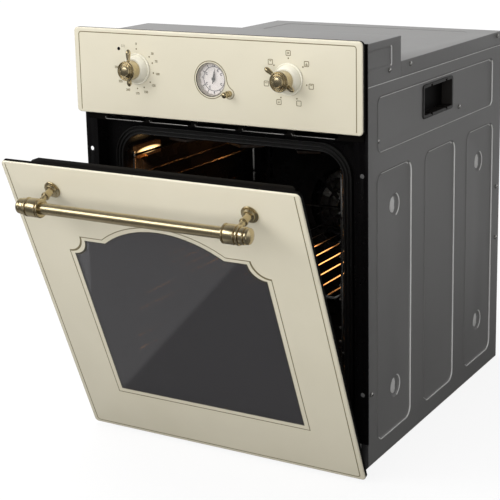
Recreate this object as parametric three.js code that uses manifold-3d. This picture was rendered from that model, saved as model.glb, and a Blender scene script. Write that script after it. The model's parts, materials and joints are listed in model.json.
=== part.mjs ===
// A slim built-in oven: cream front with an arched window, brass handle and knobs, a black
// face frame, an enamelled cavity and a grey sheet-steel body. The door stands a little open.
// Millimetres, +Z up. The front faces -Y, and +X is to the right of someone who faces it.
// Every size and place below is laid out from the front face (y = 0) and from the underside of
// the chassis (z = 0). At the end the whole oven moves back, so that its origin is the centre
// of the chassis underside.
import * as THREE from 'three';
import { mergeVertices } from 'three/addons/utils/BufferGeometryUtils.js';
import Module from 'manifold-3d';

const wasm = await Module();
wasm.setup();

// Overall sizes and the layout of the front
const ovenWidth = 450;
const ovenHeight = 595;
const panelHeight = 120;
const doorGap = 2;
const doorBottom = 7;
const frontThick = 7;
const frontCornerRadius = 6;
const frontEdgeRound = 2.5;
const doorRestAngle = 22;

// Clearances and shop allowances
const seat = 0.3;
const overrun = 2;
const weldDistance = 0.0005;
const roundSteps = 16;
const discSteps = 8;
const holeSteps = 4;
const cornerSteps = 2;
const mouthSteps = 3;
const wireSides = 5;
const tubeSteps = 3;
const boreSides = 10;

// Body sheet metal
const bodyWidth = 414;
const bodyRear = 545;
const bodyTop = 550;
const seamHeight = 529;
const controlBoxTop = 585;
const controlBoxRear = 155;
const sheet = 1.2;
const coverLip = 12;
const baseRise = 14;

// Face frame
const frameWidth = 448;
const frameTop = 590;
const frameBottom = 50;
const frameFront = 17;
const frameSheet = 1.5;
const recessWidth = 408;
const recessTop = 462;
const plateFront = 42;
const frameWindowTop = 580;
const mountHoleRadius = 3.3;
const mountHoleHeights = [120, 419];

// Cavity
const mouthWidth = 354;
const mouthBottom = 73;
const mouthTop = 441;
const mouthRadius = 34;
const gasketWidth = 13;
const cavityRear = 430;
const linerSheet = 1.5;
const insulationThick = 13;
const elementSpace = 7;

// Pressed shapes of the body sides
const pressDepth = 2.2;
const pressRadius = 16;
const bandFront = 81;
const bandRear = 505;
const bandBottom = 436;
const bandTop = 511.5;
const bandRadius = 6;
const fieldCount = 3;
const fieldWidth = 112;
const fieldPitch = 159.5;
const fieldFront = 79;
const fieldBottom = 26;
const fieldTop = 408;
const lampPanelFront = 44;
const lampPanelRear = 126;
const lampPanelBottom = 549;
const lampPanelTop = 575;

// Hand grips set into the body sides
const gripFront = 236;
const gripLength = 106;
const gripBottom = 459;
const gripHeight = 44;
const gripDepth = 17;
const gripWall = 2;
const gripRim = 3;

// Control panel fittings
const knobSpacing = 238;
const knobHeight = 541.5;
const bezelRadius = 21.4;
const bezelDepth = 12;
const knobRadius = 13.4;
const knobLength = 18;
const shaftRadius = 3;
const shaftClearance = 0.5;
const longLever = 29;
const shortLever = 22;
const leverRadius = 3.1;
const functionRestAngle = -56;
const clockHeight = 533.5;
const clockRadius = 22.6;
const clockWall = 1.2;
const clockRecess = 1;
const dialDepth = 9;
const dialThick = 1.5;
const glassThick = 1.5;
const handThick = 0.7;
const handRise = 2.8;
const minuteHandLength = 15.5;
const hourHandLength = 10.5;
const handWidth = 2.6;
const arborRadius = 1;
const movementBossRadius = 4;
const minuteRestAngle = 12;
const hourRestAngle = 1;
const clockKnobOffset = 29;
const clockKnobDrop = 17;
const clockKnobRadius = 4.4;
const clockKnobLength = 16;
const clockShaftRadius = 1.5;
const indicatorOffset = 148.5;
const indicatorHeight = 568;
const indicatorRadius = 2.4;

// Carrier behind the control panel, with the air slots under it
const carrierWidth = 438;
const carrierBottom = 463.8;
const carrierTop = 590;
const carrierWall = 4;
const carrierPlate = 1.7;
const slotCount = 5;
const slotPitch = 75;
const slotWidth = 64;
const slotBottom = 466;
const slotHeight = 5.5;
const slotCorner = 1.4;

// Controls and blower behind the panel
const thermostatWidth = 44;
const thermostatDepth = 32;
const standoffOffset = 11;
const movementWidth = 76;
const movementHeight = 54;
const movementDepth = 26;
const ductClearance = 0.4;
const rotorRadius = 21;
const rotorLength = 150;
const rotorHeight = 496;
const rotorDepth = 112;
const bladeCount = 8;
const bladeThick = 1;
const rotorDiscThick = 2;
const rotorBladeDepth = 6;
const blowerMotorRadius = 17;
const blowerMotorLength = 38;
const inletHeight = 500;
const inletOffset = 150;
const inletRadius = 9;
const inletBoxSize = 46;
const inletLength = 14;

// Door
const pivotDepth = 13;
const pivotHeight = 21.5;
const swingClearance = 1.5;
const innerFrameWidth = 400;
const innerFrameDepth = 38;
const innerFrameDrop = 16;
const innerFrameRise = 12;
const sideRailWidth = 24;
const topRailHeight = 22;
const bottomRailHeight = 40;
const railSlotCount = 5;
const railSlotLength = 52;
const railSlotPitch = 59;
const railSlotWidth = 9;
const railSlotDepth = 8;
const railSlotCorner = 2.2;
const railNotchOffset = 164;
const railNotchLength = 12;
const paneThick = 4;
const middlePaneDepth = 20;
const railChamfer = 6;

// Door window
const windowWidth = 299;
const windowBottom = 89.6;
const windowFlatTop = 356.7;
const windowCornerRadius = 23.5;
const archChord = 184;
const archRise = 30.5;

// Door handle
const handleDrop = 36.5;
const handleStandoff = 42;
const handleRadius = 7.5;
const handleInset = 43;
const ferruleRadius = 12.6;
const ferruleLength = 41;
const postInset = 32;
const rosetteRadius = 11.2;

// Door hinges
const hingeSpacing = 380;
const hingePlate = 3;
const hingeSlot = 9;
const hingePinRadius = 2.6;
const hingeEyeRadius = 5.4;
const hingeArmLength = 96;
const hingeBoxWidth = 12;
const hingeBoxDepth = 84;
const hingeBoxHeight = 38;
const hingeTongueHeight = 10;

// Fan and heating elements
const fanHeight = 268;
const fanRadius = 62;
const fanHubRadius = 14;
const fanBladeCount = 10;
const fanBladeThick = 1.2;
const fanDiscThick = 1.2;
const fanDepth = 18;
const fanRearGap = 6;
const fanShaftRadius = 3;
const motorRadius = 34;
const motorLength = 58;
const motorFlangeRadius = 46;
const motorFlangeThick = 3;
const coverDepth = 32;
const coverWidth = 300;
const coverBottom = 112;
const coverTop = 418;
const coverRadius = 12;
const grilleRadius = 66;
const grilleInnerRadius = 12;
const grilleRings = 3;
const grilleRib = 4;
const grilleSpokes = 4;
const grilleSteps = 3;
const outletCount = 6;
const outletPitch = 36;
const outletHeight = 26;
const outletWidth = 5;
const outletInset = 8;
const elementRadius = 3.2;
const ringRadius = 84;
const ringGapAngle = 24;
const ringSteps = 24;
const ringTailRadius = 2.4;
const grillHeight = 430;
const grillHalfWidth = 126;
const grillFront = 74;
const grillLegs = 6;
const bottomHalfWidth = 120;
const bottomFront = 90;
const bottomBack = 380;
const grillSteps = 62;
const bottomSteps = 34;

// Lamp on the left wall
const lampFront = 60;
const lampLength = 62;
const lampBottom = 399;
const lampHeight = 18;
const lampProud = 8;
const lampBorder = 3;
const lampSeat = 1.8;
const lampHolderDepth = 20;

// Side racks and shelf
const rackWire = 2;
const rungWire = 1.8;
const sideRackFront = 52;
const sideRackRear = 388;
const sideRackBottom = 100;
const sideRackTop = 412;
const sideRackOffset = 168;
const rungOffset = 165.5;
const levelCount = 5;
const levelPitch = 60;
const firstLevel = 117;
const guardRise = 20;
const topRung = 407;
const shelfLevel = 2;
const shelfSideWire = 2.2;
const shelfWire = 1.4;
const shelfFront = 60;
const shelfRear = 390;
const shelfHalfWidth = 163;
const shelfWireCount = 12;
const shelfWirePitch = 26;
const shelfDip = 6;
const shelfDipInset = 9;
const shelfBackRise = 28;
const facetSag = 0.7;

// Rear and base details
const ventCount = 5;
const ventPitch = 26;
const ventLength = 120;
const ventHeight = 6;
const ventBottom = 250;

// Worked-out places shared by several pieces
const deg = Math.PI / 180;
const half = 0.5;
const panelBottom = ovenHeight - panelHeight;
const doorTop = panelBottom - doorGap;
const handleHeight = doorTop - handleDrop;
const handleLength = ovenWidth - handleInset - handleInset;
const postSpacing = handleLength - postInset - postInset;
const frontHalf = ovenWidth * half;
const bodyHalf = bodyWidth * half;
const bodyInner = bodyHalf - sheet;
const frameBack = frameFront + frameSheet;
const recessHalf = recessWidth * half;
const recessWallOuter = recessHalf + frameSheet;
const plateBack = plateFront + frameSheet;
const chassisFront = plateBack + seat;
const mouthHalf = mouthWidth * half;
const linerHalf = mouthHalf + linerSheet;
const carrierBack = frameFront - seat;
const carrierPlateFront = carrierBack - carrierPlate;
const knobX = knobSpacing * half;
const rearInner = bodyRear - sheet;
const pressInner = bodyHalf - pressDepth - sheet;
const insulationInner = linerHalf + seat;
const insulationOuter = insulationInner + insulationThick;
const insulationTop = mouthTop + linerSheet + seat + insulationThick;
const ductPlateHeight = insulationTop + ductClearance;
const insulationFloor = mouthBottom - linerSheet - elementSpace;
const insulationBottom = insulationFloor - insulationThick;
const linerBack = cavityRear + linerSheet;
const insulationBack = linerBack + seat + insulationThick;
const innerFrameHalf = innerFrameWidth * half;
const innerFrameTop = doorTop - innerFrameDrop;
const innerFrameBottom = doorBottom + innerFrameRise;
const innerFrameFront = frontThick + seat;
const doorBack = innerFrameDepth;
const sideRailInner = innerFrameHalf - sideRailWidth;
const topRailBottom = innerFrameTop - topRailHeight;
const bottomRailTop = innerFrameBottom + bottomRailHeight;
const gasketFront = doorBack + seat;
const hingeX = hingeSpacing * half;
const sides = [['left', -1], ['right', 1]];

// A closed geometry as a solid: doubled points are merged and collapsed triangles dropped.
function solidOf(geometry) {
  const bare = geometry.clone();
  bare.deleteAttribute('normal');
  bare.deleteAttribute('uv');
  const merged = mergeVertices(bare, weldDistance);
  const corners = merged.index.array;
  const kept = [];
  for (let i = 0; i < corners.length; i += 3) {
    const [a, b, c] = [corners[i], corners[i + 1], corners[i + 2]];
    if (a !== b && b !== c && c !== a) kept.push(a, b, c);
  }
  if (signedVolume(merged.attributes.position, kept) < 0) kept.reverse();
  return new wasm.Manifold(new wasm.Mesh({
    numProp: 3,
    vertProperties: new Float32Array(merged.attributes.position.array),
    triVerts: new Uint32Array(kept),
  }));
}

function signedVolume(position, corners) {
  const [a, b, c] = [new THREE.Vector3(), new THREE.Vector3(), new THREE.Vector3()];
  let volume = 0;
  for (let i = 0; i < corners.length; i += 3) {
    a.fromBufferAttribute(position, corners[i]);
    b.fromBufferAttribute(position, corners[i + 1]);
    c.fromBufferAttribute(position, corners[i + 2]);
    volume += a.dot(b.cross(c));
  }
  return volume;
}

function geometryOf(solid) {
  const mesh = solid.getMesh();
  const geometry = new THREE.BufferGeometry();
  geometry.setAttribute('position', new THREE.BufferAttribute(mesh.vertProperties, mesh.numProp));
  geometry.setIndex(new THREE.BufferAttribute(mesh.triVerts, 1));
  geometry.computeVertexNormals();
  return geometry;
}

const join = (...solids) => solids.flat().reduce((whole, piece) => whole.add(piece));
const cut = (whole, ...tools) => tools.flat().reduce((rest, tool) => rest.subtract(tool), whole);

// A rectangular block between two places along each axis.
function block(x0, x1, y0, y1, z0, z1) {
  const geometry = new THREE.BoxGeometry(Math.abs(x1 - x0), Math.abs(y1 - y0), Math.abs(z1 - z0));
  geometry.translate((x0 + x1) * half, (y0 + y1) * half, (z0 + z1) * half);
  return solidOf(geometry);
}

function rectangle(x0, x1, z0, z1, radius) {
  const [left, right] = [Math.min(x0, x1), Math.max(x0, x1)];
  const [low, high] = [Math.min(z0, z1), Math.max(z0, z1)];
  const quarter = Math.PI * half;
  const shape = new THREE.Shape();
  shape.absarc(right - radius, low + radius, radius, -quarter, 0);
  shape.absarc(right - radius, high - radius, radius, 0, quarter);
  shape.absarc(left + radius, high - radius, radius, quarter, Math.PI);
  shape.absarc(left + radius, low + radius, radius, Math.PI, Math.PI + quarter);
  return shape;
}

function disc(x, z, radius) {
  const shape = new THREE.Shape();
  shape.absarc(x, z, radius, 0, 2 * Math.PI);
  return shape;
}

function polygon(points) {
  return new THREE.Shape(points.map(([x, y]) => new THREE.Vector2(x, y)));
}

function extruded(shape, depth, steps) {
  return new THREE.ExtrudeGeometry(shape, { depth, bevelEnabled: false, curveSegments: steps });
}

// Prisms: an outline in x and z that runs along y, one in y and z that runs along x, and one
// in x and y that runs along z.
function frontPrism(shape, yFront, yBack, steps = cornerSteps) {
  const geometry = extruded(shape, yBack - yFront, steps);
  geometry.rotateX(Math.PI * half);
  geometry.translate(0, yBack, 0);
  return solidOf(geometry);
}

function sidePrism(shape, x0, x1, steps = cornerSteps) {
  const geometry = extruded(shape, Math.abs(x1 - x0), steps);
  const [along, up, across] = [new THREE.Vector3(0, 1, 0), new THREE.Vector3(0, 0, 1),
    new THREE.Vector3(1, 0, 0)];
  geometry.applyMatrix4(new THREE.Matrix4().makeBasis(along, up, across));
  geometry.translate(Math.min(x0, x1), 0, 0);
  return solidOf(geometry);
}

function upPrism(shape, z0, z1, steps = cornerSteps) {
  const geometry = extruded(shape, z1 - z0, steps);
  geometry.translate(0, 0, z0);
  return solidOf(geometry);
}

// A turned piece. Its profile is a list of shares of a radius and a length, from tail to nose.
const turnAxes = {
  front: (geometry) => geometry.rotateX(Math.PI),
  back: (geometry) => geometry,
  up: (geometry) => geometry.rotateX(Math.PI * half),
  right: (geometry) => geometry.rotateZ(-Math.PI * half),
  left: (geometry) => geometry.rotateZ(Math.PI * half),
};

function turned(shares, radius, length, axis, steps = roundSteps) {
  const points = shares.map(([r, along]) => new THREE.Vector2(r * radius, along * length));
  return solidOf(turnAxes[axis](new THREE.LatheGeometry(points, steps)));
}

const rodShares = [[0, 0], [1, 0], [1, 1], [0, 1]];

function place(solid, x, y, z) {
  return solid.translate([x, y, z]);
}

// A straight round wire or pin between two points.
function rod(from, to, radius, steps = wireSides) {
  const [start, end] = [new THREE.Vector3(...from), new THREE.Vector3(...to)];
  const along = end.clone().sub(start);
  const geometry = new THREE.CylinderGeometry(radius, radius, along.length(), steps);
  const middle = start.clone().add(end).multiplyScalar(half);
  const up = new THREE.Vector3(0, 1, 0);
  geometry.applyQuaternion(new THREE.Quaternion().setFromUnitVectors(up, along.normalize()));
  geometry.translate(middle.x, middle.y, middle.z);
  return solidOf(geometry);
}

// A round tube swept along a smooth curve.
function swept(curve, radius, steps) {
  return solidOf(new THREE.ExtrudeGeometry(disc(0, 0, radius), {
    steps, extrudePath: curve, curveSegments: tubeSteps, bevelEnabled: false,
  }));
}

// The groups that move, and the finishes
const oven = new THREE.Group();
const body = new THREE.Group();
oven.add(body);

const doorHung = new THREE.Group();
doorHung.position.set(0, pivotDepth, pivotHeight);
doorHung.rotation.x = doorRestAngle * deg;
const door = new THREE.Group();
door.position.set(0, -pivotDepth, -pivotHeight);
doorHung.add(door);
body.add(doorHung);

function finish(color, roughness, metalness) {
  return new THREE.MeshStandardMaterial({ color, roughness, metalness });
}
const finishes = {
  cream: () => finish(0xe4ddc6, 0.35, 0),
  brass: () => finish(0xb09a68, 0.32, 1),
  blackEnamel: () => finish(0x14120f, 0.3, 0),
  blackPlastic: () => finish(0x1b1816, 0.55, 0),
  greySteel: () => finish(0x5a5958, 0.5, 0.7),
  zinc: () => finish(0xa6a6a3, 0.4, 0.9),
  chrome: () => finish(0xc9c9c9, 0.15, 1),
  darkGlass: () => finish(0x3a3a40, 0.08, 0),
  clearGlass: () => finish(0xd8dcd8, 0.05, 0),
  dial: () => finish(0xe6dcd6, 0.6, 0),
  hand: () => finish(0x2d2a27, 0.4, 0.3),
  wool: () => finish(0xc8b98a, 1, 0),
  rubber: () => finish(0x201e1c, 0.7, 0),
  element: () => finish(0x4a4642, 0.5, 0.6),
  copperWire: () => finish(0x3b3f45, 0.5, 0.4),
};

function add(parent, name, material, solid) {
  const mesh = new THREE.Mesh(geometryOf(solid), material);
  mesh.name = name;
  parent.add(mesh);
  return mesh;
}

// Base pan: the flat floor of the chassis with its rim turned up at the sides and rear.
function basePan() {
  const inner = bodyInner - seat;
  const tray = block(-inner, inner, chassisFront, rearInner - seat, 0, baseRise);
  const hollow = block(-inner + sheet, inner - sheet, chassisFront - overrun,
    rearInner - seat - sheet, sheet, baseRise + overrun);
  return cut(tray, hollow);
}
add(body, 'base_pan', finishes.zinc(), basePan());

// Side panels: one sheet each, with pressed fields, a pressed band and a cut-out for the grip.
function sidePanel(sign) {
  const outer = sign * bodyHalf;
  const inner = sign * bodyInner;
  const pressed = sign * (bodyHalf - pressDepth);
  const pressedInner = sign * pressInner;
  const front = frameBack + seat;
  let panel = block(inner, outer, front, bodyRear, 0, seamHeight - seat);
  const outlines = [rectangle(bandFront, bandRear, bandBottom, bandTop, bandRadius)];
  for (let i = 0; i < fieldCount; i += 1) {
    const start = fieldFront + i * fieldPitch;
    outlines.push(rectangle(start, start + fieldWidth, fieldBottom, fieldTop, pressRadius));
  }
  for (const outline of outlines) {
    panel = join(panel, sidePrism(outline, pressedInner, inner));
    const points = outline.getPoints(cornerSteps);
    const shrunk = inset(points, sheet);
    panel = cut(panel, sidePrism(polygon(shrunk), pressed, outer + sign * overrun));
  }
  const hole = sidePrism(rectangle(gripFront, gripFront + gripLength, gripBottom,
    gripBottom + gripHeight, gripRim), pressedInner - sign * overrun, outer + sign * overrun);
  const swingRear = pivotDepth + pivotHeight - doorBottom + swingClearance;
  const swingTop = pivotHeight - pivotDepth + frontThick + swingClearance;
  const doorNotch = block(pressedInner - sign * overrun, outer + sign * overrun,
    front - overrun, swingRear, -overrun, swingTop);
  return cut(panel, hole, doorNotch);
}

// The same outline, drawn in by a wall.
function inset(points, wall) {
  const box = new THREE.Box2().setFromPoints(points);
  const centre = box.getCenter(new THREE.Vector2());
  const size = box.getSize(new THREE.Vector2());
  const shareX = (size.x - wall - wall) / size.x;
  const shareY = (size.y - wall - wall) / size.y;
  return points.map((p) => [
    centre.x + (p.x - centre.x) * shareX,
    centre.y + (p.y - centre.y) * shareY,
  ]);
}
for (const [name, sign] of sides) {
  add(body, `side_panel_${name}`, finishes.greySteel(), sidePanel(sign));
}

// Rear panel, with rows of vents, the opening for the mains inlet and plain edges.
function rearPanel() {
  const wide = bodyInner - seat;
  const outline = rectangle(-wide, wide, seat, bodyTop - sheet - seat, sheet);
  for (let i = 0; i < ventCount; i += 1) {
    const low = ventBottom + i * ventPitch;
    outline.holes.push(rectangle(-ventLength * half, ventLength * half, low, low + ventHeight,
      sheet));
  }
  const glandHole = frontPrism(disc(inletOffset, inletHeight, inletRadius + seat),
    rearInner - overrun, bodyRear + overrun, discSteps);
  return cut(frontPrism(outline, rearInner, bodyRear), glandHole);
}
add(body, 'rear_panel', finishes.zinc(), rearPanel());

// Top cover: a shallow tray turned over, behind the control box.
function topCover() {
  const front = controlBoxRear + seat;
  const lid = block(-bodyHalf, bodyHalf, front, bodyRear, seamHeight, bodyTop);
  const hollow = block(-bodyInner, bodyInner, front - overrun, rearInner, seamHeight - overrun,
    bodyTop - sheet);
  const rearCut = block(-bodyInner, bodyInner, rearInner - overrun, bodyRear + overrun,
    seamHeight - overrun, bodyTop - sheet);
  return cut(lid, hollow, rearCut);
}
add(body, 'top_cover', finishes.zinc(), topCover());

// Control box cover: the raised box right behind the control panel, pressed on its sides.
function controlBoxCover() {
  const front = frameBack + seat;
  const lid = block(-bodyHalf, bodyHalf, front, controlBoxRear, seamHeight, controlBoxTop);
  const hollow = block(-bodyInner, bodyInner, front - overrun, controlBoxRear - sheet,
    seamHeight - overrun, controlBoxTop - sheet);
  const rearCut = block(-bodyInner, bodyInner, controlBoxRear - sheet - overrun,
    controlBoxRear + overrun, seamHeight - overrun, bodyTop - coverLip);
  let cover = cut(lid, hollow, rearCut);
  for (const [, sign] of sides) {
    const outline = rectangle(lampPanelFront, lampPanelRear, lampPanelBottom, lampPanelTop,
      bandRadius);
    cover = join(cover, sidePrism(outline, sign * pressInner, sign * bodyInner));
    const shrunk = polygon(inset(outline.getPoints(cornerSteps), sheet));
    cover = cut(cover, sidePrism(shrunk, sign * (bodyHalf - pressDepth),
      sign * (bodyHalf + overrun)));
  }
  return cover;
}
add(body, 'control_box_cover', finishes.zinc(), controlBoxCover());

// Face frame: two side flanges that rest on the cabinet, and between them a sunk plate with
// the oven mouth. The flanges stop above the floor, where the door's foot swings in.
function frontFrame() {
  const frameHalf = frameWidth * half;
  const flange = polygon([
    [-frameHalf, frameBottom], [-recessHalf, frameBottom], [-recessHalf, frameWindowTop],
    [recessHalf, frameWindowTop], [recessHalf, frameBottom], [frameHalf, frameBottom],
    [frameHalf, frameTop], [-frameHalf, frameTop],
  ]);
  const holeX = (frameHalf + bodyHalf) * half;
  for (const height of mountHoleHeights) {
    flange.holes.push(disc(holeX, height, mountHoleRadius));
    flange.holes.push(disc(-holeX, height, mountHoleRadius));
  }
  const plateTop = recessTop + frameSheet;
  const plate = polygon([
    [-recessWallOuter, 0], [recessWallOuter, 0], [recessWallOuter, plateTop],
    [-recessWallOuter, plateTop],
  ]);
  plate.holes.push(rectangle(-mouthHalf, mouthHalf, mouthBottom, mouthTop, mouthRadius));
  const slotHalf = hingeSlot * half;
  for (const [, sign] of sides) {
    plate.holes.push(rectangle(sign * hingeX - slotHalf, sign * hingeX + slotHalf,
      pivotHeight - hingeTongueHeight, pivotHeight + hingeTongueHeight, frameSheet));
  }
  const sheets = [
    frontPrism(flange, frameFront, frameBack, holeSteps),
    frontPrism(plate, plateFront, plateBack, mouthSteps),
  ];
  for (const [, sign] of sides) {
    sheets.push(block(sign * recessHalf, sign * recessWallOuter, frameFront, plateBack,
      frameBottom, plateTop));
  }
  sheets.push(block(-recessWallOuter, recessWallOuter, frameBack, plateBack, recessTop,
    plateTop));
  return join(sheets);
}
add(body, 'front_frame', finishes.blackEnamel(), frontFrame());

// Air duct plate: the shelf over the cavity that carries the blower and the mains inlet.
add(body, 'air_duct_plate', finishes.zinc(), block(-pressInner + seat, pressInner - seat,
  chassisFront, rearInner - seat, ductPlateHeight, ductPlateHeight + sheet));

// Cream front plates: rounded corners and a rounded front edge.
function creamPlate(low, high) {
  const outline = rectangle(-frontHalf, frontHalf, low, high, frontCornerRadius);
  const geometry = new THREE.ExtrudeGeometry(outline, {
    depth: frontThick, curveSegments: cornerSteps, bevelEnabled: true, bevelSegments: 2,
    bevelThickness: frontEdgeRound, bevelSize: frontEdgeRound, bevelOffset: -frontEdgeRound,
  });
  geometry.rotateX(Math.PI * half);
  geometry.translate(0, frontThick + frontEdgeRound, 0);
  const back = block(-ovenWidth, ovenWidth, frontThick, frontThick + ovenWidth, 0,
    ovenHeight + overrun);
  return cut(solidOf(geometry), back);
}

function controlPanel() {
  const shaftHole = shaftRadius + shaftClearance;
  const through = [
    disc(-knobX, knobHeight, shaftHole), disc(knobX, knobHeight, shaftHole),
    disc(clockKnobOffset, clockHeight - clockKnobDrop, clockShaftRadius + shaftClearance),
    disc(-indicatorOffset, indicatorHeight, indicatorRadius + seat),
  ].map((shape) => frontPrism(shape, -overrun, frontThick + overrun, holeSteps));
  const clockHole = frontPrism(disc(0, clockHeight, clockRadius + seat), -overrun,
    frontThick + overrun, discSteps);
  return cut(creamPlate(panelBottom, ovenHeight), through, clockHole);
}
add(body, 'control_panel', finishes.cream(), controlPanel());

// Carrier: the black moulding that holds the panel on the frame, with the air slots below.
function panelCarrier() {
  const wide = carrierWidth * half;
  const front = frontThick + seat;
  const plate = rectangle(-wide, wide, carrierBottom, carrierTop, carrierWall * half);
  const shaftHole = shaftRadius + shaftClearance;
  const through = [
    disc(-knobX, knobHeight, shaftHole), disc(knobX, knobHeight, shaftHole),
    disc(0, clockHeight, clockRadius + seat),
    disc(clockKnobOffset, clockHeight - clockKnobDrop, clockShaftRadius + shaftClearance),
  ].map((shape) => frontPrism(shape, front, carrierBack + overrun, discSteps));
  for (let i = 0; i < slotCount; i += 1) {
    const centre = (i - (slotCount - 1) * half) * slotPitch;
    plate.holes.push(rectangle(centre - slotWidth * half, centre + slotWidth * half,
      slotBottom, slotBottom + slotHeight, slotCorner));
  }
  const rimBottom = panelBottom + frontEdgeRound;
  const rim = rectangle(-wide, wide, rimBottom, carrierTop, carrierWall * half);
  rim.holes.push(rectangle(-wide + carrierWall, wide - carrierWall, rimBottom + carrierWall,
    carrierTop - carrierWall, carrierWall * half));
  return cut(join(frontPrism(plate, carrierPlateFront, carrierBack),
    frontPrism(rim, front, carrierBack)), through);
}
add(body, 'panel_carrier', finishes.blackPlastic(), panelCarrier());

// Cavity liner: the enamelled box, open at the front, with round edges.
function cavityLiner() {
  const outer = rectangle(-linerHalf, linerHalf, mouthBottom - linerSheet, mouthTop + linerSheet,
    mouthRadius + linerSheet);
  const inner = rectangle(-mouthHalf, mouthHalf, mouthBottom, mouthTop, mouthRadius);
  const box = frontPrism(outer, chassisFront, linerBack, mouthSteps);
  const hollow = frontPrism(inner, chassisFront - overrun, cavityRear, mouthSteps);
  const shaftHole = frontPrism(disc(0, fanHeight, fanShaftRadius + shaftClearance),
    cavityRear - overrun, linerBack + overrun, holeSteps);
  const lampHole = block(-mouthHalf + overrun, -linerHalf - overrun,
    lampFront + lampBorder, lampFront + lampLength - lampBorder,
    lampBottom + lampBorder, lampBottom + lampHeight - lampBorder);
  return cut(box, hollow, shaftHole, lampHole);
}
add(body, 'cavity_liner', finishes.blackEnamel(), cavityLiner());

// Insulation: mineral wool wrapped round the liner, with room for the bottom element.
function insulationWrap() {
  const outer = rectangle(-insulationOuter, insulationOuter, insulationBottom, insulationTop,
    mouthRadius);
  const inner = rectangle(-insulationInner, insulationInner, insulationFloor,
    mouthTop + linerSheet + seat, mouthRadius);
  const wrap = frontPrism(outer, chassisFront, insulationBack, mouthSteps);
  const hollow = frontPrism(inner, chassisFront - overrun, linerBack + seat, mouthSteps);
  const motorHole = frontPrism(disc(0, fanHeight, motorFlangeRadius + seat),
    linerBack - overrun, insulationBack + overrun, discSteps);
  const lampHole = block(-mouthHalf, -insulationOuter - overrun,
    lampFront - lampBorder - seat, lampFront + lampLength + lampBorder + seat,
    lampBottom - lampBorder - seat, lampBottom + lampHeight + lampBorder + seat);
  return cut(wrap, hollow, motorHole, lampHole);
}
add(body, 'insulation_wrap', finishes.wool(), insulationWrap());

// Door gasket: a heat-proof ring round the mouth.
function doorGasket() {
  const outer = rectangle(-mouthHalf - gasketWidth, mouthHalf + gasketWidth,
    mouthBottom - gasketWidth, mouthTop + gasketWidth, mouthRadius + gasketWidth);
  outer.holes.push(rectangle(-mouthHalf, mouthHalf, mouthBottom, mouthTop, mouthRadius));
  return frontPrism(outer, gasketFront, plateFront - seat, mouthSteps);
}
add(body, 'door_gasket', finishes.rubber(), doorGasket());

// Grips: plastic pockets pushed into the sides, for lifting the oven.
function gripPocket(sign) {
  const outer = sign * (bodyHalf - pressDepth + gripRim * half);
  const skin = sign * (bodyHalf - pressDepth + seat);
  const wall = [gripFront + seat, gripFront + gripLength - seat, gripBottom + seat,
    gripBottom + gripHeight - seat];
  const cupDepth = sign * (bodyHalf - pressDepth - gripDepth);
  const rim = rectangle(wall[0] - gripRim, wall[1] + gripRim, wall[2] - gripRim,
    wall[3] + gripRim, gripRim + gripRim);
  const shell = join(sidePrism(rectangle(...wall, gripRim), cupDepth, skin),
    sidePrism(rim, skin, outer));
  const hollow = sidePrism(rectangle(wall[0] + gripWall, wall[1] - gripWall,
    wall[2] + gripWall, wall[3] - gripWall, gripWall), cupDepth + sign * gripWall,
    outer + sign * overrun);
  return cut(shell, hollow);
}
for (const [name, sign] of sides) {
  add(body, `grip_pocket_${name}`, finishes.blackPlastic(), gripPocket(sign));
}

// Fan cover: a pressed tray over the fan with a ringed grille and outlets at both sides.
const coverFront = cavityRear - coverDepth;

function annularSlot(inner, outer, start, end) {
  const shape = new THREE.Shape();
  shape.absarc(0, fanHeight, outer, start, end);
  shape.absarc(0, fanHeight, inner, end, start, true);
  return shape;
}

function fanCover() {
  const wide = coverWidth * half;
  const outer = frontPrism(rectangle(-wide, wide, coverBottom, coverTop, coverRadius),
    coverFront, cavityRear - seat);
  const hollow = frontPrism(rectangle(-wide + sheet, wide - sheet, coverBottom + sheet,
    coverTop - sheet, coverRadius - sheet), coverFront + sheet, cavityRear + overrun);
  const cuts = [hollow];
  const pitch = (grilleRadius - grilleInnerRadius) / grilleRings;
  for (let ring = 0; ring < grilleRings; ring += 1) {
    const outerRadius = grilleInnerRadius + (ring + 1) * pitch;
    const innerRadius = outerRadius - pitch + grilleRib;
    const spokeAngle = grilleRib / outerRadius;
    for (let spoke = 0; spoke < grilleSpokes; spoke += 1) {
      const start = (2 * Math.PI * spoke) / grilleSpokes + Math.PI / grilleSpokes;
      const end = start + (2 * Math.PI) / grilleSpokes;
      const slot = annularSlot(innerRadius, outerRadius, start + spokeAngle, end - spokeAngle);
      cuts.push(frontPrism(slot, coverFront - overrun, coverFront + sheet + overrun, grilleSteps));
    }
  }
  for (const [, sign] of sides) {
    const near = sign * (wide - outletInset);
    for (let i = 0; i < outletCount; i += 1) {
      const low = fanHeight + (i - outletCount * half) * outletPitch;
      cuts.push(block(near, near - sign * outletWidth, coverFront - overrun,
        coverFront + sheet + overrun, low, low + outletHeight));
    }
  }
  return cut(outer, cuts);
}
add(body, 'fan_cover', finishes.blackEnamel(), fanCover());

// Convection motor, bolted to the back of the liner by its flange.
function convectionMotor() {
  const start = linerBack + seat;
  const flange = frontPrism(disc(0, fanHeight, motorFlangeRadius), start,
    start + motorFlangeThick, discSteps);
  const barrel = frontPrism(disc(0, fanHeight, motorRadius), start, start + motorLength,
    discSteps);
  const bore = frontPrism(disc(0, fanHeight, fanShaftRadius + shaftClearance), start - overrun,
    start + motorLength * half, holeSteps);
  return cut(join(flange, barrel), bore);
}
add(body, 'convection_motor', finishes.zinc(), convectionMotor());

// Convection fan: hub, disc and blades on a shaft that runs into the motor.
const fanBack = cavityRear - fanRearGap;
const fanGroup = new THREE.Group();
fanGroup.position.set(0, fanBack, fanHeight);
body.add(fanGroup);

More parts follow.
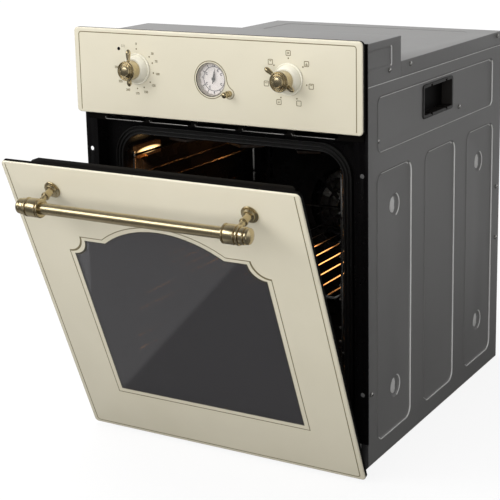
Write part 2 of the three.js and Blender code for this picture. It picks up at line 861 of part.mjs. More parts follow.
function convectionFan() {
  const plate = turned(rodShares, fanRadius, fanDiscThick, 'front');
  const hub = turned(rodShares, fanHubRadius, fanDepth, 'front', boreSides);
  const shaftLength = fanRearGap + linerSheet + seat + motorLength * half - overrun;
  const shaft = turned(rodShares, fanShaftRadius, shaftLength + overrun, 'back', boreSides);
  const blades = [];
  for (let i = 0; i < fanBladeCount; i += 1) {
    const blade = block(-fanBladeThick * half, fanBladeThick * half, -fanDepth, 0,
      fanHubRadius - overrun, fanRadius - fanDiscThick);
    blades.push(blade.rotate([0, (360 * i) / fanBladeCount, 0]));
  }
  return join(plate, hub, place(shaft, 0, -overrun, 0), blades);
}
add(fanGroup, 'convection_fan', finishes.zinc(), convectionFan());

// Ring element round the fan. Its two tails run back to the rear wall.
function ringElement() {
  const depth = fanBack - fanDepth * half;
  const tail = cavityRear - seat - depth;
  const start = (-90 + ringGapAngle * half) * deg;
  const turn = (360 - ringGapAngle) * deg;
  const points = [];
  for (let i = 0; i <= ringSteps; i += 1) {
    const angle = start + (turn * i) / ringSteps;
    points.push([ringRadius * Math.cos(angle), depth, fanHeight + ringRadius * Math.sin(angle)]);
  }
  const pieces = [];
  const path = new THREE.CatmullRomCurve3(points.map((p) => new THREE.Vector3(...p)));
  pieces.push(swept(path, elementRadius, ringSteps));
  for (const [x, y, z] of [points[0], points[ringSteps]]) {
    pieces.push(rod([x, y - elementRadius * half, z], [x, y + tail, z], ringTailRadius));
  }
  return join(pieces);
}
add(body, 'ring_element', finishes.element(), ringElement());

// A heating element that runs in straight legs joined by bends.
function legPath(corners, bend) {
  const path = new THREE.CurvePath();
  let last = corners[0];
  for (let i = 1; i < corners.length - 1; i += 1) {
    const before = corners[i - 1].clone().sub(corners[i]).setLength(bend).add(corners[i]);
    const after = corners[i + 1].clone().sub(corners[i]).setLength(bend).add(corners[i]);
    path.add(new THREE.LineCurve3(last, before));
    path.add(new THREE.QuadraticBezierCurve3(before, corners[i], after));
    last = after;
  }
  path.add(new THREE.LineCurve3(last, corners[corners.length - 1]));
  return path;
}

function grillElement() {
  const gap = (grillHalfWidth * 2) / (grillLegs - 1);
  const back = coverFront - gap;
  const corners = [new THREE.Vector3(-grillHalfWidth, cavityRear - seat, grillHeight)];
  for (let i = 0; i < grillLegs; i += 1) {
    const x = -grillHalfWidth + i * gap;
    const forward = i % 2 === 0;
    if (i > 0) corners.push(new THREE.Vector3(x, forward ? back : grillFront, grillHeight));
    if (i < grillLegs - 1) {
      corners.push(new THREE.Vector3(x, forward ? grillFront : back, grillHeight));
    }
  }
  corners.push(new THREE.Vector3(grillHalfWidth, cavityRear - seat, grillHeight));
  return swept(legPath(corners, gap * half - elementRadius), elementRadius, grillSteps);
}
add(body, 'grill_element', finishes.element(), grillElement());

function bottomElement() {
  const z = mouthBottom - linerSheet - seat - elementRadius;
  const gap = bottomHalfWidth * half;
  const end = linerBack - linerSheet;
  const corners = [
    [-gap, end], [-gap, bottomBack], [-bottomHalfWidth, bottomBack], [-bottomHalfWidth, bottomFront],
    [bottomHalfWidth, bottomFront], [bottomHalfWidth, bottomBack], [gap, bottomBack], [gap, end],
  ].map(([x, y]) => new THREE.Vector3(x, y, z));
  return swept(legPath(corners, gap * half - elementRadius), elementRadius, bottomSteps);
}
add(body, 'bottom_element', finishes.element(), bottomElement());

// Cavity lamp: a glass cover inside the left wall and its holder behind the liner.
function lampHolder() {
  const box = block(-linerHalf - seat, -linerHalf - lampHolderDepth,
    lampFront - lampBorder, lampFront + lampLength + lampBorder,
    lampBottom - lampBorder, lampBottom + lampHeight + lampBorder);
  const neck = block(-mouthHalf + lampSeat - seat, -linerHalf - overrun,
    lampFront + lampBorder + seat, lampFront + lampLength - lampBorder - seat,
    lampBottom + lampBorder + seat, lampBottom + lampHeight - lampBorder - seat);
  return join(box, neck);
}
add(body, 'lamp_holder', finishes.zinc(), lampHolder());

function lampLens() {
  const outline = rectangle(lampFront, lampFront + lampLength, lampBottom,
    lampBottom + lampHeight, lampBorder);
  return sidePrism(outline, -mouthHalf + lampSeat, -mouthHalf + lampProud);
}
add(body, 'lamp_lens', finishes.clearGlass(), lampLens());

// Side racks: chrome wire ladders pinned to the cavity walls.
function sideRack(sign) {
  const wires = [];
  const x = sign * sideRackOffset;
  for (const y of [sideRackFront, sideRackRear]) {
    wires.push(rod([x, y, sideRackBottom], [x, y, sideRackTop], rackWire));
    for (const z of [sideRackBottom + levelPitch, sideRackTop - levelPitch]) {
      wires.push(rod([x, y, z], [sign * (mouthHalf - seat), y, z], rackWire));
    }
  }
  const heights = [topRung];
  for (let i = 0; i < levelCount; i += 1) {
    heights.push(firstLevel + i * levelPitch, firstLevel + i * levelPitch + guardRise);
  }
  for (const z of heights) {
    wires.push(rod([sign * rungOffset, sideRackFront - rackWire, z],
      [sign * rungOffset, sideRackRear + rackWire, z], rungWire));
  }
  return join(wires);
}
for (const [name, sign] of sides) {
  add(body, `side_rack_${name}`, finishes.chrome(), sideRack(sign));
}

// Wire shelf, lying on the rungs of one level. Its faceted wires are flatter than round ones,
// so it sits lower by what the facets leave out.
const shelfSeat = firstLevel + shelfLevel * levelPitch + rungWire - facetSag;
const shelfHeight = shelfSeat + seat + shelfSideWire;

function wireShelf() {
  const wires = [];
  const barHeight = shelfHeight - shelfDip;
  const dipX = shelfHalfWidth - shelfDipInset;
  for (const [, sign] of sides) {
    const x = sign * shelfHalfWidth;
    wires.push(rod([x, shelfFront, shelfHeight], [x, shelfRear, shelfHeight], shelfSideWire));
    for (const y of [shelfFront, shelfRear]) {
      wires.push(rod([x, y, shelfHeight], [sign * dipX, y, barHeight], shelfSideWire));
    }
    wires.push(rod([sign * dipX, shelfRear, barHeight],
      [sign * dipX, shelfRear, shelfHeight + shelfBackRise], shelfSideWire));
  }
  for (const [y, z] of [[shelfFront, barHeight], [shelfRear, barHeight],
    [shelfRear, shelfHeight + shelfBackRise]]) {
    wires.push(rod([-dipX - shelfSideWire * half, y, z], [dipX + shelfSideWire * half, y, z],
      shelfSideWire));
  }
  const wireZ = barHeight + shelfSideWire + shelfWire * half;
  for (let i = 0; i < shelfWireCount; i += 1) {
    const x = (i - (shelfWireCount - 1) * half) * shelfWirePitch;
    wires.push(rod([x, shelfFront - shelfSideWire, wireZ], [x, shelfRear + shelfSideWire, wireZ],
      shelfWire));
  }
  return join(wires);
}
add(body, 'wire_shelf', finishes.chrome(), wireShelf());

// Hinge receivers: boxes behind the sunk plate whose tongues reach out to the door's pivot.
const tongueHalf = hingePlate * half;

function hingeReceiver(sign) {
  const x = sign * hingeX;
  const boxHalf = hingeBoxWidth * half;
  const box = block(x - boxHalf, x + boxHalf, chassisFront, chassisFront + hingeBoxDepth,
    sheet + seat, sheet + seat + hingeBoxHeight);
  const tongueRise = hingeTongueHeight - seat - seat;
  const tongue = block(x - tongueHalf, x + tongueHalf, pivotDepth, chassisFront + overrun,
    pivotHeight - hingeEyeRadius, pivotHeight + hingeEyeRadius);
  const eye = rod([x - tongueHalf, pivotDepth, pivotHeight],
    [x + tongueHalf, pivotDepth, pivotHeight], hingeEyeRadius, roundSteps);
  const bore = rod([x - boxHalf, pivotDepth, pivotHeight], [x + boxHalf, pivotDepth, pivotHeight],
    hingePinRadius + seat, roundSteps);
  const root = block(x - tongueHalf, x + tongueHalf, plateFront - overrun, chassisFront + overrun,
    pivotHeight - tongueRise, pivotHeight + tongueRise);
  return cut(join(box, tongue, eye, root), bore);
}
for (const [name, sign] of sides) {
  add(body, `hinge_receiver_${name}`, finishes.zinc(), hingeReceiver(sign));
}

// Door hinge arms: a strap up the side rail, with the pivot pin through the receiver's eye.
function doorHinge(sign) {
  const x = sign * hingeX;
  const inner = x - sign * (tongueHalf + seat);
  const outer = inner - sign * hingePlate;
  const strap = block(inner, outer, innerFrameFront, pivotDepth + hingeEyeRadius,
    pivotHeight - hingeEyeRadius, pivotHeight + hingeArmLength);
  const pin = rod([outer, pivotDepth, pivotHeight],
    [x + sign * (tongueHalf + seat), pivotDepth, pivotHeight], hingePinRadius, roundSteps);
  return join(strap, pin);
}
for (const [name, sign] of sides) {
  add(door, `door_hinge_${name}`, finishes.zinc(), doorHinge(sign));
}

// Window outline: straight sides and foot, hollow upper corners and an arched head.
function windowOutline(grow) {
  const wide = windowWidth * half;
  const chord = archChord * half;
  const archRadius = (chord * chord + archRise * archRise) / (archRise + archRise);
  const archCentre = windowFlatTop + archRise - archRadius;
  const flat = windowFlatTop + grow;
  const corner = windowCornerRadius - grow;
  const reach = archRadius + grow;
  const start = Math.asin((flat - archCentre) / reach);
  const shape = new THREE.Shape();
  shape.moveTo(-wide - grow, windowBottom - grow);
  shape.lineTo(wide + grow, windowBottom - grow);
  shape.absarc(wide + grow, flat, corner, -Math.PI * half, -Math.PI, true);
  shape.absarc(0, archCentre, reach, start, Math.PI - start);
  shape.absarc(-wide - grow, flat, corner, 0, -Math.PI * half, true);
  return shape;
}

// Door panel, window pane, and the two inner panes
const windowSteps = 5;

add(door, 'door_panel', finishes.cream(), cut(creamPlate(doorBottom, doorTop),
  frontPrism(windowOutline(0), -overrun, frontThick + overrun, windowSteps)));
add(door, 'door_window', finishes.darkGlass(),
  frontPrism(windowOutline(-seat), 0, frontThick, windowSteps));

function innerPane(yFront) {
  const wide = sideRailInner - seat;
  return block(-wide, wide, yFront, yFront + paneThick, bottomRailTop + seat,
    topRailBottom - seat);
}
add(door, 'door_middle_glass', finishes.clearGlass(), innerPane(middlePaneDepth));
add(door, 'door_inner_glass', finishes.clearGlass(), innerPane(doorBack - paneThick));

// Door rails: the moulded top rail with its air slots, two side rails and the foot rail.
function doorTopRail() {
  const outline = polygon([
    [-innerFrameHalf, innerFrameFront], [innerFrameHalf, innerFrameFront],
    [innerFrameHalf, doorBack - railChamfer], [innerFrameHalf - railChamfer, doorBack],
    [-innerFrameHalf + railChamfer, doorBack], [-innerFrameHalf, doorBack - railChamfer],
  ]);
  const rail = upPrism(outline, topRailBottom, innerFrameTop);
  const middle = (innerFrameFront + doorBack) * half;
  const pockets = [];
  for (let i = 0; i < railSlotCount; i += 1) {
    const x = (i - (railSlotCount - 1) * half) * railSlotPitch;
    pockets.push([x, railSlotLength]);
  }
  for (const [, sign] of sides) pockets.push([sign * railNotchOffset, railNotchLength]);
  const tools = pockets.map(([x, length]) => upPrism(rectangle(x - length * half,
    x + length * half, middle - railSlotWidth * half, middle + railSlotWidth * half,
    railSlotCorner), innerFrameTop - railSlotDepth, innerFrameTop + overrun));
  return cut(rail, tools);
}
add(door, 'door_top_rail', finishes.blackPlastic(), doorTopRail());

function doorSideRail(sign) {
  const rail = block(sign * sideRailInner, sign * innerFrameHalf, innerFrameFront, doorBack,
    innerFrameBottom, topRailBottom - seat);
  const x = sign * hingeX;
  const slot = hingePlate + hingePlate * half + seat + seat + seat;
  const pocketTop = pivotHeight + hingeArmLength + seat;
  const armPocket = block(x - slot, x + slot, innerFrameFront - overrun,
    pivotDepth + hingeEyeRadius + seat, innerFrameBottom - overrun, pocketTop);
  const swing = block(x - slot, x + slot, innerFrameFront - overrun, doorBack + overrun,
    innerFrameBottom - overrun, pivotHeight + hingeTongueHeight + seat);
  return cut(rail, armPocket, swing);
}
for (const [name, sign] of sides) {
  add(door, `door_side_rail_${name}`, finishes.blackPlastic(), doorSideRail(sign));
}
add(door, 'door_bottom_rail', finishes.blackPlastic(), block(-sideRailInner + seat,
  sideRailInner - seat, innerFrameFront, doorBack, innerFrameBottom, bottomRailTop));

// Handle: a round bar in two turned ferrules, on two posts with rosettes.
const ferruleShares = [
  [0.96, 0], [1, 0.03], [1, 0.09], [0.93, 0.12], [0.93, 0.5], [1, 0.53], [1, 0.6],
  [0.78, 0.63], [0.84, 0.79], [0.84, 0.83], [0.6, 0.94], [0, 1],
];
const postShares = [
  [0, 0], [1, 0], [1, 0.08], [0.86, 0.17], [0.6, 0.19], [0.6, 0.24], [0.42, 0.28], [0.42, 0.62],
  [0.33, 0.64], [0.33, 1], [0, 1],
];
const barLength = handleLength - ferruleLength - ferruleLength * half;

add(door, 'handle_bar', finishes.brass(), rod([-barLength * half, -handleStandoff, handleHeight],
  [barLength * half, -handleStandoff, handleHeight], handleRadius, roundSteps));

function handleFerrule(sign) {
  const foot = handleLength * half - ferruleLength;
  const axis = sign > 0 ? 'right' : 'left';
  const profile = [[0, 0], ...ferruleShares];
  const ferrule = place(turned(profile, ferruleRadius, ferruleLength, axis),
    sign * foot, -handleStandoff, handleHeight);
  const barEnd = barLength * half + seat;
  const socket = rod([sign * (foot - overrun), -handleStandoff, handleHeight],
    [sign * barEnd, -handleStandoff, handleHeight], handleRadius + seat, roundSteps);
  const postReach = handleStandoff - handleRadius;
  const postHole = rod([sign * postSpacing * half, -postReach, handleHeight],
    [sign * postSpacing * half, 0, handleHeight], rosetteRadius * half, roundSteps);
  return cut(ferrule, socket, postHole);
}

function handlePost(sign) {
  const length = handleStandoff - handleRadius - seat - seat;
  const post = turned(postShares, rosetteRadius, length, 'front', roundSteps);
  return place(post, sign * postSpacing * half, -seat, handleHeight);
}
for (const [name, sign] of sides) {
  add(door, `handle_ferrule_${name}`, finishes.brass(), handleFerrule(sign));
  add(door, `handle_post_${name}`, finishes.brass(), handlePost(sign));
}

// Knobs: a fixed cream cone, and a brass barrel with a long and a short lever on its shaft.
const bezelShares = [
  [0.17, 0], [1, 0], [1, 0.14], [0.94, 0.22], [0.7, 0.98], [0.68, 1], [0.17, 1], [0.17, 0],
];
const barrelShares = [
  [0, 0], [0.94, 0], [1, 0.05], [1, 0.82], [0.93, 0.9], [0.74, 0.9], [0.68, 0.82], [0.56, 0.82],
  [0.55, 0.96], [0.4, 1], [0, 1],
];
const leverShares = [
  [0, 0], [0.68, 0], [0.7, 0.5], [0.95, 0.8], [1, 0.88], [0.82, 0.96], [0.4, 0.99], [0, 1],
];

function knob(name, x, restAngle) {
  const group = new THREE.Group();
  group.position.set(x, 0, knobHeight);
  group.rotation.y = restAngle * deg;
  body.add(group);
  const start = bezelDepth + seat + seat;
  const barrel = place(turned(barrelShares, knobRadius, knobLength, 'front'), 0, -start, 0);
  const shaft = rod([0, -start - overrun, 0], [0, frameBack, 0], shaftRadius, boreSides);
  const depth = -start - knobLength * half;
  const upLever = turned(leverShares, leverRadius, longLever, 'up', boreSides);
  const downLever = turned(leverShares, leverRadius, shortLever, 'up', boreSides)
    .rotate([0, 180, 0]);
  const levers = [place(upLever, 0, depth, 0), place(downLever, 0, depth, 0)];
  add(group, name, finishes.brass(), join(barrel, shaft, levers));
}

for (const [name, sign] of [['temperature_bezel', -1], ['function_bezel', 1]]) {
  const bezel = turned(bezelShares, bezelRadius, bezelDepth, 'front');
  add(body, name, finishes.cream(), place(bezel, sign * knobX, -seat, knobHeight));
}
knob('temperature_knob', -knobX, 0);
knob('function_knob', knobX, functionRestAngle);

// Thermostat and selector switch, on the back of the carrier behind their shafts.
function controlBody(x) {
  const wide = thermostatWidth * half;
  const front = frameBack + seat;
  return block(x - wide, x + wide, front, front + thermostatDepth, knobHeight - wide,
    knobHeight + wide);
}
function standoffs(solid, x) {
  const posts = sides.map(([, sign]) => rod(
    [x + sign * standoffOffset, carrierBack + seat, knobHeight],
    [x + sign * standoffOffset, frameBack + overrun, knobHeight], shaftRadius));
  return join(solid, posts);
}
add(body, 'thermostat', finishes.zinc(),
  standoffs(controlBody(-knobX), -knobX));
add(body, 'selector_switch', finishes.blackPlastic(),
  standoffs(controlBody(knobX), knobX));

// Clock: a cup in the panel, its dial and glass, and the movement behind with the arbor.
const dialFront = dialDepth;

function clockHousing() {
  const ring = disc(0, clockHeight, clockRadius);
  ring.holes.push(disc(0, clockHeight, clockRadius - clockWall));
  return frontPrism(ring, clockRecess, carrierBack, discSteps);
}
add(body, 'clock_housing', finishes.zinc(), clockHousing());

function clockDisc(front, thick, boreRadius) {
  const face = disc(0, clockHeight, clockRadius - clockWall - seat);
  if (boreRadius > 0) face.holes.push(disc(0, clockHeight, boreRadius));
  return frontPrism(face, front, front + thick, discSteps);
}
add(body, 'clock_dial', finishes.dial(), clockDisc(dialFront, dialThick, arborRadius + seat));
add(body, 'clock_glass', finishes.clearGlass(), clockDisc(overrun, glassThick, 0));

const minuteFront = dialFront - handRise;
const hourFront = minuteFront + handThick + seat;

function clockMovement() {
  const front = frameBack + seat;
  const wide = movementWidth * half;
  const box = block(-wide, wide, front, front + movementDepth,
    clockHeight - movementHeight * half, clockHeight + movementHeight * half);
  const arbor = rod([0, minuteFront - handThick, clockHeight], [0, front + overrun, clockHeight],
    arborRadius, boreSides);
  const boss = rod([0, dialFront + dialThick + seat, clockHeight],
    [0, front + overrun, clockHeight], movementBossRadius, boreSides);
  return join(box, arbor, boss);
}
add(body, 'clock_movement', finishes.blackPlastic(), clockMovement());

// Hands: a spade on a short tail, turning on the arbor.
const handShares = [
  [-0.35, -0.42], [0.35, -0.42], [0.5, 0.1], [1, 0.34], [0.36, 0.62], [0, 1], [-0.36, 0.62],
  [-1, 0.34], [-0.5, 0.1],
];

function clockHand(name, length, front, restAngle) {
  const group = new THREE.Group();
  group.position.set(0, front, clockHeight);
  group.rotation.y = restAngle * deg;
  body.add(group);
  const outline = polygon(handShares.map(([w, l]) => [w * handWidth * half, l * length]));
  const hub = disc(0, 0, handWidth);
  const blade = join(frontPrism(outline, 0, handThick),
    frontPrism(hub, 0, handThick, holeSteps));
  const bore = frontPrism(disc(0, 0, arborRadius + seat), -overrun, handThick + overrun,
    holeSteps);
  add(group, name, finishes.hand(), cut(blade, bore));
}
clockHand('minute_hand', minuteHandLength, minuteFront, minuteRestAngle);
clockHand('hour_hand', hourHandLength, hourFront, hourRestAngle);

// Clock setting knob: a small brass collar and ball on its own shaft.
const clockKnobShares = [
  [0, 0], [1, 0], [1, 0.3], [0.7, 0.36], [0.7, 0.5], [0.84, 0.58], [0.96, 0.7], [0.96, 0.82],
  [0.7, 0.94], [0.35, 0.99], [0, 1],
];
const clockKnobGroup = new THREE.Group();
clockKnobGroup.position.set(clockKnobOffset, 0, clockHeight - clockKnobDrop);
body.add(clockKnobGroup);
add(clockKnobGroup, 'clock_knob', finishes.brass(), join(
  place(turned(clockKnobShares, clockKnobRadius, clockKnobLength, 'front', roundSteps), 0, -seat, 0),
  rod([0, -overrun, 0], [0, frameBack, 0], clockShaftRadius, boreSides),
));

// Indicator lens beside the temperature scale.
add(body, 'indicator_lens', finishes.darkGlass(), rod(
  [-indicatorOffset, -seat, indicatorHeight],
  [-indicatorOffset, carrierPlateFront - seat, indicatorHeight], indicatorRadius, boreSides,
));

// Cooling blower: a drum of blades in a housing on the duct plate, driven from one end.
const rotorGroup = new THREE.Group();
rotorGroup.position.set(0, rotorDepth, rotorHeight);
body.add(rotorGroup);

function coolingRotor() {
  const long = rotorLength * half;
  const drum = [];
  for (const [, sign] of sides) {
    drum.push(rod([sign * long, 0, 0], [sign * (long - rotorDiscThick), 0, 0], rotorRadius,
      roundSteps));
  }
  for (let i = 0; i < bladeCount; i += 1) {
    const blade = block(-long, long, -bladeThick * half, bladeThick * half,
      rotorRadius - rotorBladeDepth, rotorRadius);
    drum.push(blade.rotate([(360 * i) / bladeCount, 0, 0]));
  }
  const shaftEnd = long + rotorDiscThick + rotorDiscThick;
  drum.push(rod([-shaftEnd, 0, 0], [shaftEnd, 0, 0], fanShaftRadius, boreSides));
  return join(drum);
}
add(rotorGroup, 'cooling_rotor', finishes.zinc(), coolingRotor());

function coolingHousing() {
  const floor = ductPlateHeight + sheet + seat;
  const reach = rotorRadius + rotorDiscThick;
  const long = rotorLength * half + rotorDiscThick * half;
  const front = rotorDepth - reach;
  const back = rotorDepth + reach;
  const plate = rotorDiscThick;
  const pieces = [
    block(-long, long, front, back + plate, floor, floor + plate),
    block(-long, long, back, back + plate, floor, rotorHeight + reach),
  ];
  for (const [, sign] of sides) {
    pieces.push(block(sign * long, sign * (long + plate), front, back + plate, floor,
      rotorHeight + reach));
  }
  const motorStart = long + plate;
  pieces.push(rod([motorStart - plate * half, rotorDepth, rotorHeight],
    [motorStart + blowerMotorLength, rotorDepth, rotorHeight], blowerMotorRadius, roundSteps));
  const bore = rod([-motorStart - overrun, rotorDepth, rotorHeight],
    [motorStart + plate + plate, rotorDepth, rotorHeight], fanShaftRadius + shaftClearance,
    boreSides);
  return cut(join(pieces), bore);
}
add(body, 'cooling_blower_housing', finishes.zinc(), coolingHousing());

// Mains inlet: a terminal box on the duct plate, with its gland through the rear panel.
function mainsInlet() {
  const wide = inletBoxSize * half;
  const back = rearInner - seat;
  const floor = ductPlateHeight + sheet + seat;
  const box = block(inletOffset - wide, inletOffset + wide, back - inletBoxSize, back, floor,
    inletHeight + wide * half);
  const gland = rod([inletOffset, back - overrun, inletHeight],
    [inletOffset, bodyRear - seat, inletHeight], inletRadius, roundSteps);
  const bore = rod([inletOffset, back - inletLength, inletHeight],
    [inletOffset, bodyRear + overrun, inletHeight], inletRadius * half, roundSteps);
  return cut(join(box, gland), bore);
}
add(body, 'mains_inlet', finishes.blackPlastic(), mainsInlet());

// The origin goes to the centre of the chassis underside.
body.position.y = -(chassisFront + rearInner - seat) * half;

export default oven;
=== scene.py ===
"""A slim built-in oven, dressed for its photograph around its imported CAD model.

Metres, +Z up, the front faces -Y. The pieces follow in the order in which the oven is put
together: chassis, cavity, controls, door, and then the studio that it stands in."""
import contextlib
import json
import math

import bmesh
import bpy
from mathutils import Matrix, Vector

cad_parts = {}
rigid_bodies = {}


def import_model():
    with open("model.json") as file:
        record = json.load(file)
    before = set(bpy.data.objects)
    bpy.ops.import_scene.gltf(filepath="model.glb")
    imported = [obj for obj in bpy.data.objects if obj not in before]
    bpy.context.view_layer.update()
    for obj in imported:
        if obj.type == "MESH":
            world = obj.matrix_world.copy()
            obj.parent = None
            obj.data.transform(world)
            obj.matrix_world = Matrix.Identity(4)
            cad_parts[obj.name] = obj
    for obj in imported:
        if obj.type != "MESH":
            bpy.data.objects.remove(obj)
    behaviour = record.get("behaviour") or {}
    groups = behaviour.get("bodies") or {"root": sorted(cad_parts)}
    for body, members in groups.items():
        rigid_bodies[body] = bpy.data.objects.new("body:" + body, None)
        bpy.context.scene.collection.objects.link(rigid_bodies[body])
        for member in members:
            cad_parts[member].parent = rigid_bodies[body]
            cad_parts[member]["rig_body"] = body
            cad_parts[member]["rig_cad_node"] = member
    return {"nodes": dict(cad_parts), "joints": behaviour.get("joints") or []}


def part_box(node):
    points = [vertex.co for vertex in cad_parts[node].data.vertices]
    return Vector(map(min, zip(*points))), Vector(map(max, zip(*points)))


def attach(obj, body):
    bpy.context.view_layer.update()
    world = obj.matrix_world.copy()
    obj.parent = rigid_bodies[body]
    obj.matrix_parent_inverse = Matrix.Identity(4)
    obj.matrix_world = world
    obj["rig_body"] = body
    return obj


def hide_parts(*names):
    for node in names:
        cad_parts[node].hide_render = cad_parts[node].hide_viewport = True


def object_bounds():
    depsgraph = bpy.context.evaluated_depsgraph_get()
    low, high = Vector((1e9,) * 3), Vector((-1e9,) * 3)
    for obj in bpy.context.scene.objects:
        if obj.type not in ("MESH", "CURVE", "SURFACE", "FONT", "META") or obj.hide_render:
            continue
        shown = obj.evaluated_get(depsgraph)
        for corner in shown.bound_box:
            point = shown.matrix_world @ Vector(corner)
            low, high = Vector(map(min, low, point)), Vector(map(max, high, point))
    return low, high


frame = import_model()
cad_low, cad_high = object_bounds()


# Chassis floor, rear wall, duct plate and hinge pockets: zinc-plated steel sheet, folded and
# spot-welded. The zinc shows as pale crystals of a few millimetres, a little duller in places.
X, Y, Z = range(3)
FORWARD, BACKWARD = (0, -1, 0), (0, 1, 0)
ROOT = "oven_body"


class Shade:
    """One socket of a finish's node tree. Sums and products of it add Math nodes."""

    def __init__(self, tree, socket=None):
        self.tree, self.socket = tree, socket

    def node(self, kind, inputs={}, output=0, **settings):
        """Adds a node with its settings, feeds its sockets, and gives one of its outputs."""
        made = self.tree.nodes.new("ShaderNode" + kind)
        for key, value in settings.items():
            setattr(made, key, value)
        for key, value in inputs.items():
            if isinstance(value, Shade):
                self.tree.links.new(value.socket, made.inputs[key])
            else:
                made.inputs[key].default_value = value
        return Shade(self.tree, made.outputs[output])

    def math(self, operation, other):
        return self.node("Math", {0: self, 1: other}, operation=operation)

    def __add__(self, other):
        return self.math("ADD", other)

    def __sub__(self, other):
        return self.math("SUBTRACT", other)

    def __mul__(self, other):
        return self.math("MULTIPLY", other)

    def spread(self, low, high, least=0.0, most=1.0):
        """This value from low to high, mapped to least to most and held there."""
        return self.node("MapRange", {0: self, 1: low, 2: high, 3: least, 4: most})

    def between(self, least=0.0, most=1.0):
        """This noise, which mostly lies from 0.3 to 0.7, mapped to least to most."""
        return self.spread(0.3, 0.7, least, most)

    def mix(self, *ends):
        """A colour between two, by this value. Each is a shade or a screen colour."""
        dull, bright = (end if isinstance(end, Shade) else colour(*end) for end in ends)
        return self.node("Mix", {0: self, 6: dull, 7: bright}, output=2, data_type="RGBA")

    def noise(self, scale, detail=3.0, rough=0.55):
        """A cloudy value, from this place."""
        return self.node("TexNoise", {"Vector": self, "Scale": scale, "Detail": detail,
                                      "Roughness": rough})

    def stretched(self, x, y, z):
        """This place, squeezed along each axis."""
        return self.node("Mapping", {"Vector": self, "Scale": (x, y, z)})

    def part(self, axis):
        """One coordinate of this place."""
        return self.node("SeparateXYZ", {0: self}, output=axis)

    def length(self):
        """How far this place is from its origin."""
        return self.node("VectorMath", {0: self}, output="Value", operation="LENGTH")

    def bump(self, depth):
        """A surface normal from this height, depth metres deep."""
        return self.node("Bump", {"Height": self, "Strength": 1.0, "Distance": depth})


def colour(*screen):
    """A screen colour, 0 to 255, as the shaders count it: sRGB, straight below 10."""
    linear = [((c / 255 + 0.055) / 1.055) ** 2.4 if c > 10 else c / 3294.6 for c in screen]
    return (*linear, 1.0)


def new_finish(name, **constants):
    """A material: gives it, its Object coordinates, and a function that feeds its shader."""
    material = bpy.data.materials.new(name)
    material.use_nodes = True
    tree = material.node_tree
    shader = tree.nodes["Principled BSDF"]
    for key, value in constants.items():
        shader.inputs[key.replace("_", " ")].default_value = value

    def feed(**shades):
        for key, shade in shades.items():
            tree.links.new(shade.socket, shader.inputs[key.replace("_", " ")])

    return material, Shade(tree).node("TexCoord", output="Object"), feed


def mottled(name, scale, dull, bright, rough=None, **constants):
    """A finish that wanders between two colours at some scale. Rough gives the scale, the
    least and the most of a roughness that wanders too."""
    material, place, feed = new_finish(name, **constants)
    feed(Base_Color=place.noise(scale).mix(dull, bright))
    if rough:
        feed(Roughness=place.noise(rough[0]).between(*rough[1:]))
    return material


def take(piece):
    """Leaves one piece selected and active, because an operator acts on all that is."""
    bpy.ops.object.select_all(action="DESELECT")
    piece.select_set(True)
    bpy.context.view_layer.objects.active = piece
    return piece


def pick(kind, test):
    """In edit mode, selects the edges or verts that pass the test."""
    bpy.ops.mesh.select_mode(type={"edges": "EDGE", "verts": "VERT"}[kind])
    bpy.ops.mesh.select_all(action="DESELECT")
    shape = bmesh.from_edit_mesh(bpy.context.edit_object.data)
    for part in getattr(shape, kind):
        if test(part):
            part.select_set(True)
    bmesh.update_edit_mesh(bpy.context.edit_object.data)


@contextlib.contextmanager
def editing(piece):
    """Edit mode on one piece, with all of it selected."""
    take(piece)
    bpy.ops.object.mode_set(mode="EDIT")
    bpy.ops.mesh.select_all(action="SELECT")
    yield
    bpy.ops.object.mode_set(mode="OBJECT")


def modify(piece, kind, **settings):
    """Adds one modifier to the piece and applies it."""
    take(piece)
    modifier = piece.modifiers.new(kind, kind)
    for key, value in settings.items():
        setattr(modifier, key, value)
    bpy.ops.object.modifier_apply(modifier=modifier.name)
    return piece


def roll_edges(piece, radius, steps=2, angle=40):
    """Rounds every edge sharper than the angle, as bent and turned metal has it."""
    return modify(piece, "BEVEL", width=radius, segments=steps, limit_method="ANGLE",
                  angle_limit=math.radians(angle))


def finished(piece, body, material, nodes=(), smooth=35):
    """Smooths a piece, gives it its material and body, and lets it stand for its nodes. A
    list of materials keeps the faces' own choice among them."""
    take(piece)
    bpy.ops.object.shade_smooth_by_angle(angle=math.radians(smooth))
    kept = [face.material_index for face in piece.data.polygons]
    piece.data.materials.clear()
    for finish in material if isinstance(material, list) else [material]:
        piece.data.materials.append(finish)
    if isinstance(material, list):
        piece.data.polygons.foreach_set("material_index", kept)
    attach(piece, body)
    if nodes:
        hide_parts(*nodes)
    return piece


def dress(material, *nodes):
    """Gives CAD pieces that stay as they are their material."""
    for node in nodes:
        materials = frame["nodes"][node].data.materials
        materials.clear()
        materials.append(material)


def duplicate(source, name):
    """A copy of a piece, with a mesh of its own."""
    piece = source.copy()
    piece.data = source.data.copy()
    piece.name = piece.data.name = name
    bpy.context.scene.collection.objects.link(piece)
    return piece


def finer(node, material, edge, steps=2, smooth=35):
    """A finer copy of a CAD piece, with its facets merged and its edges rolled over."""
    piece = duplicate(frame["nodes"][node], node + "_fine")
    piece.parent = None
    body = piece["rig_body"]
    del piece["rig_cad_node"], piece["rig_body"]
    take(piece)
    bpy.ops.mesh.customdata_custom_splitnormals_clear()
    with editing(piece):
        bpy.ops.mesh.select_mode(type="FACE")
        bpy.ops.mesh.remove_doubles(threshold=0.00002)
        bpy.ops.mesh.dissolve_limited(angle_limit=math.radians(0.5))
    if edge:
        roll_edges(piece, edge, steps)
    return finished(piece, body, material, [node], smooth)


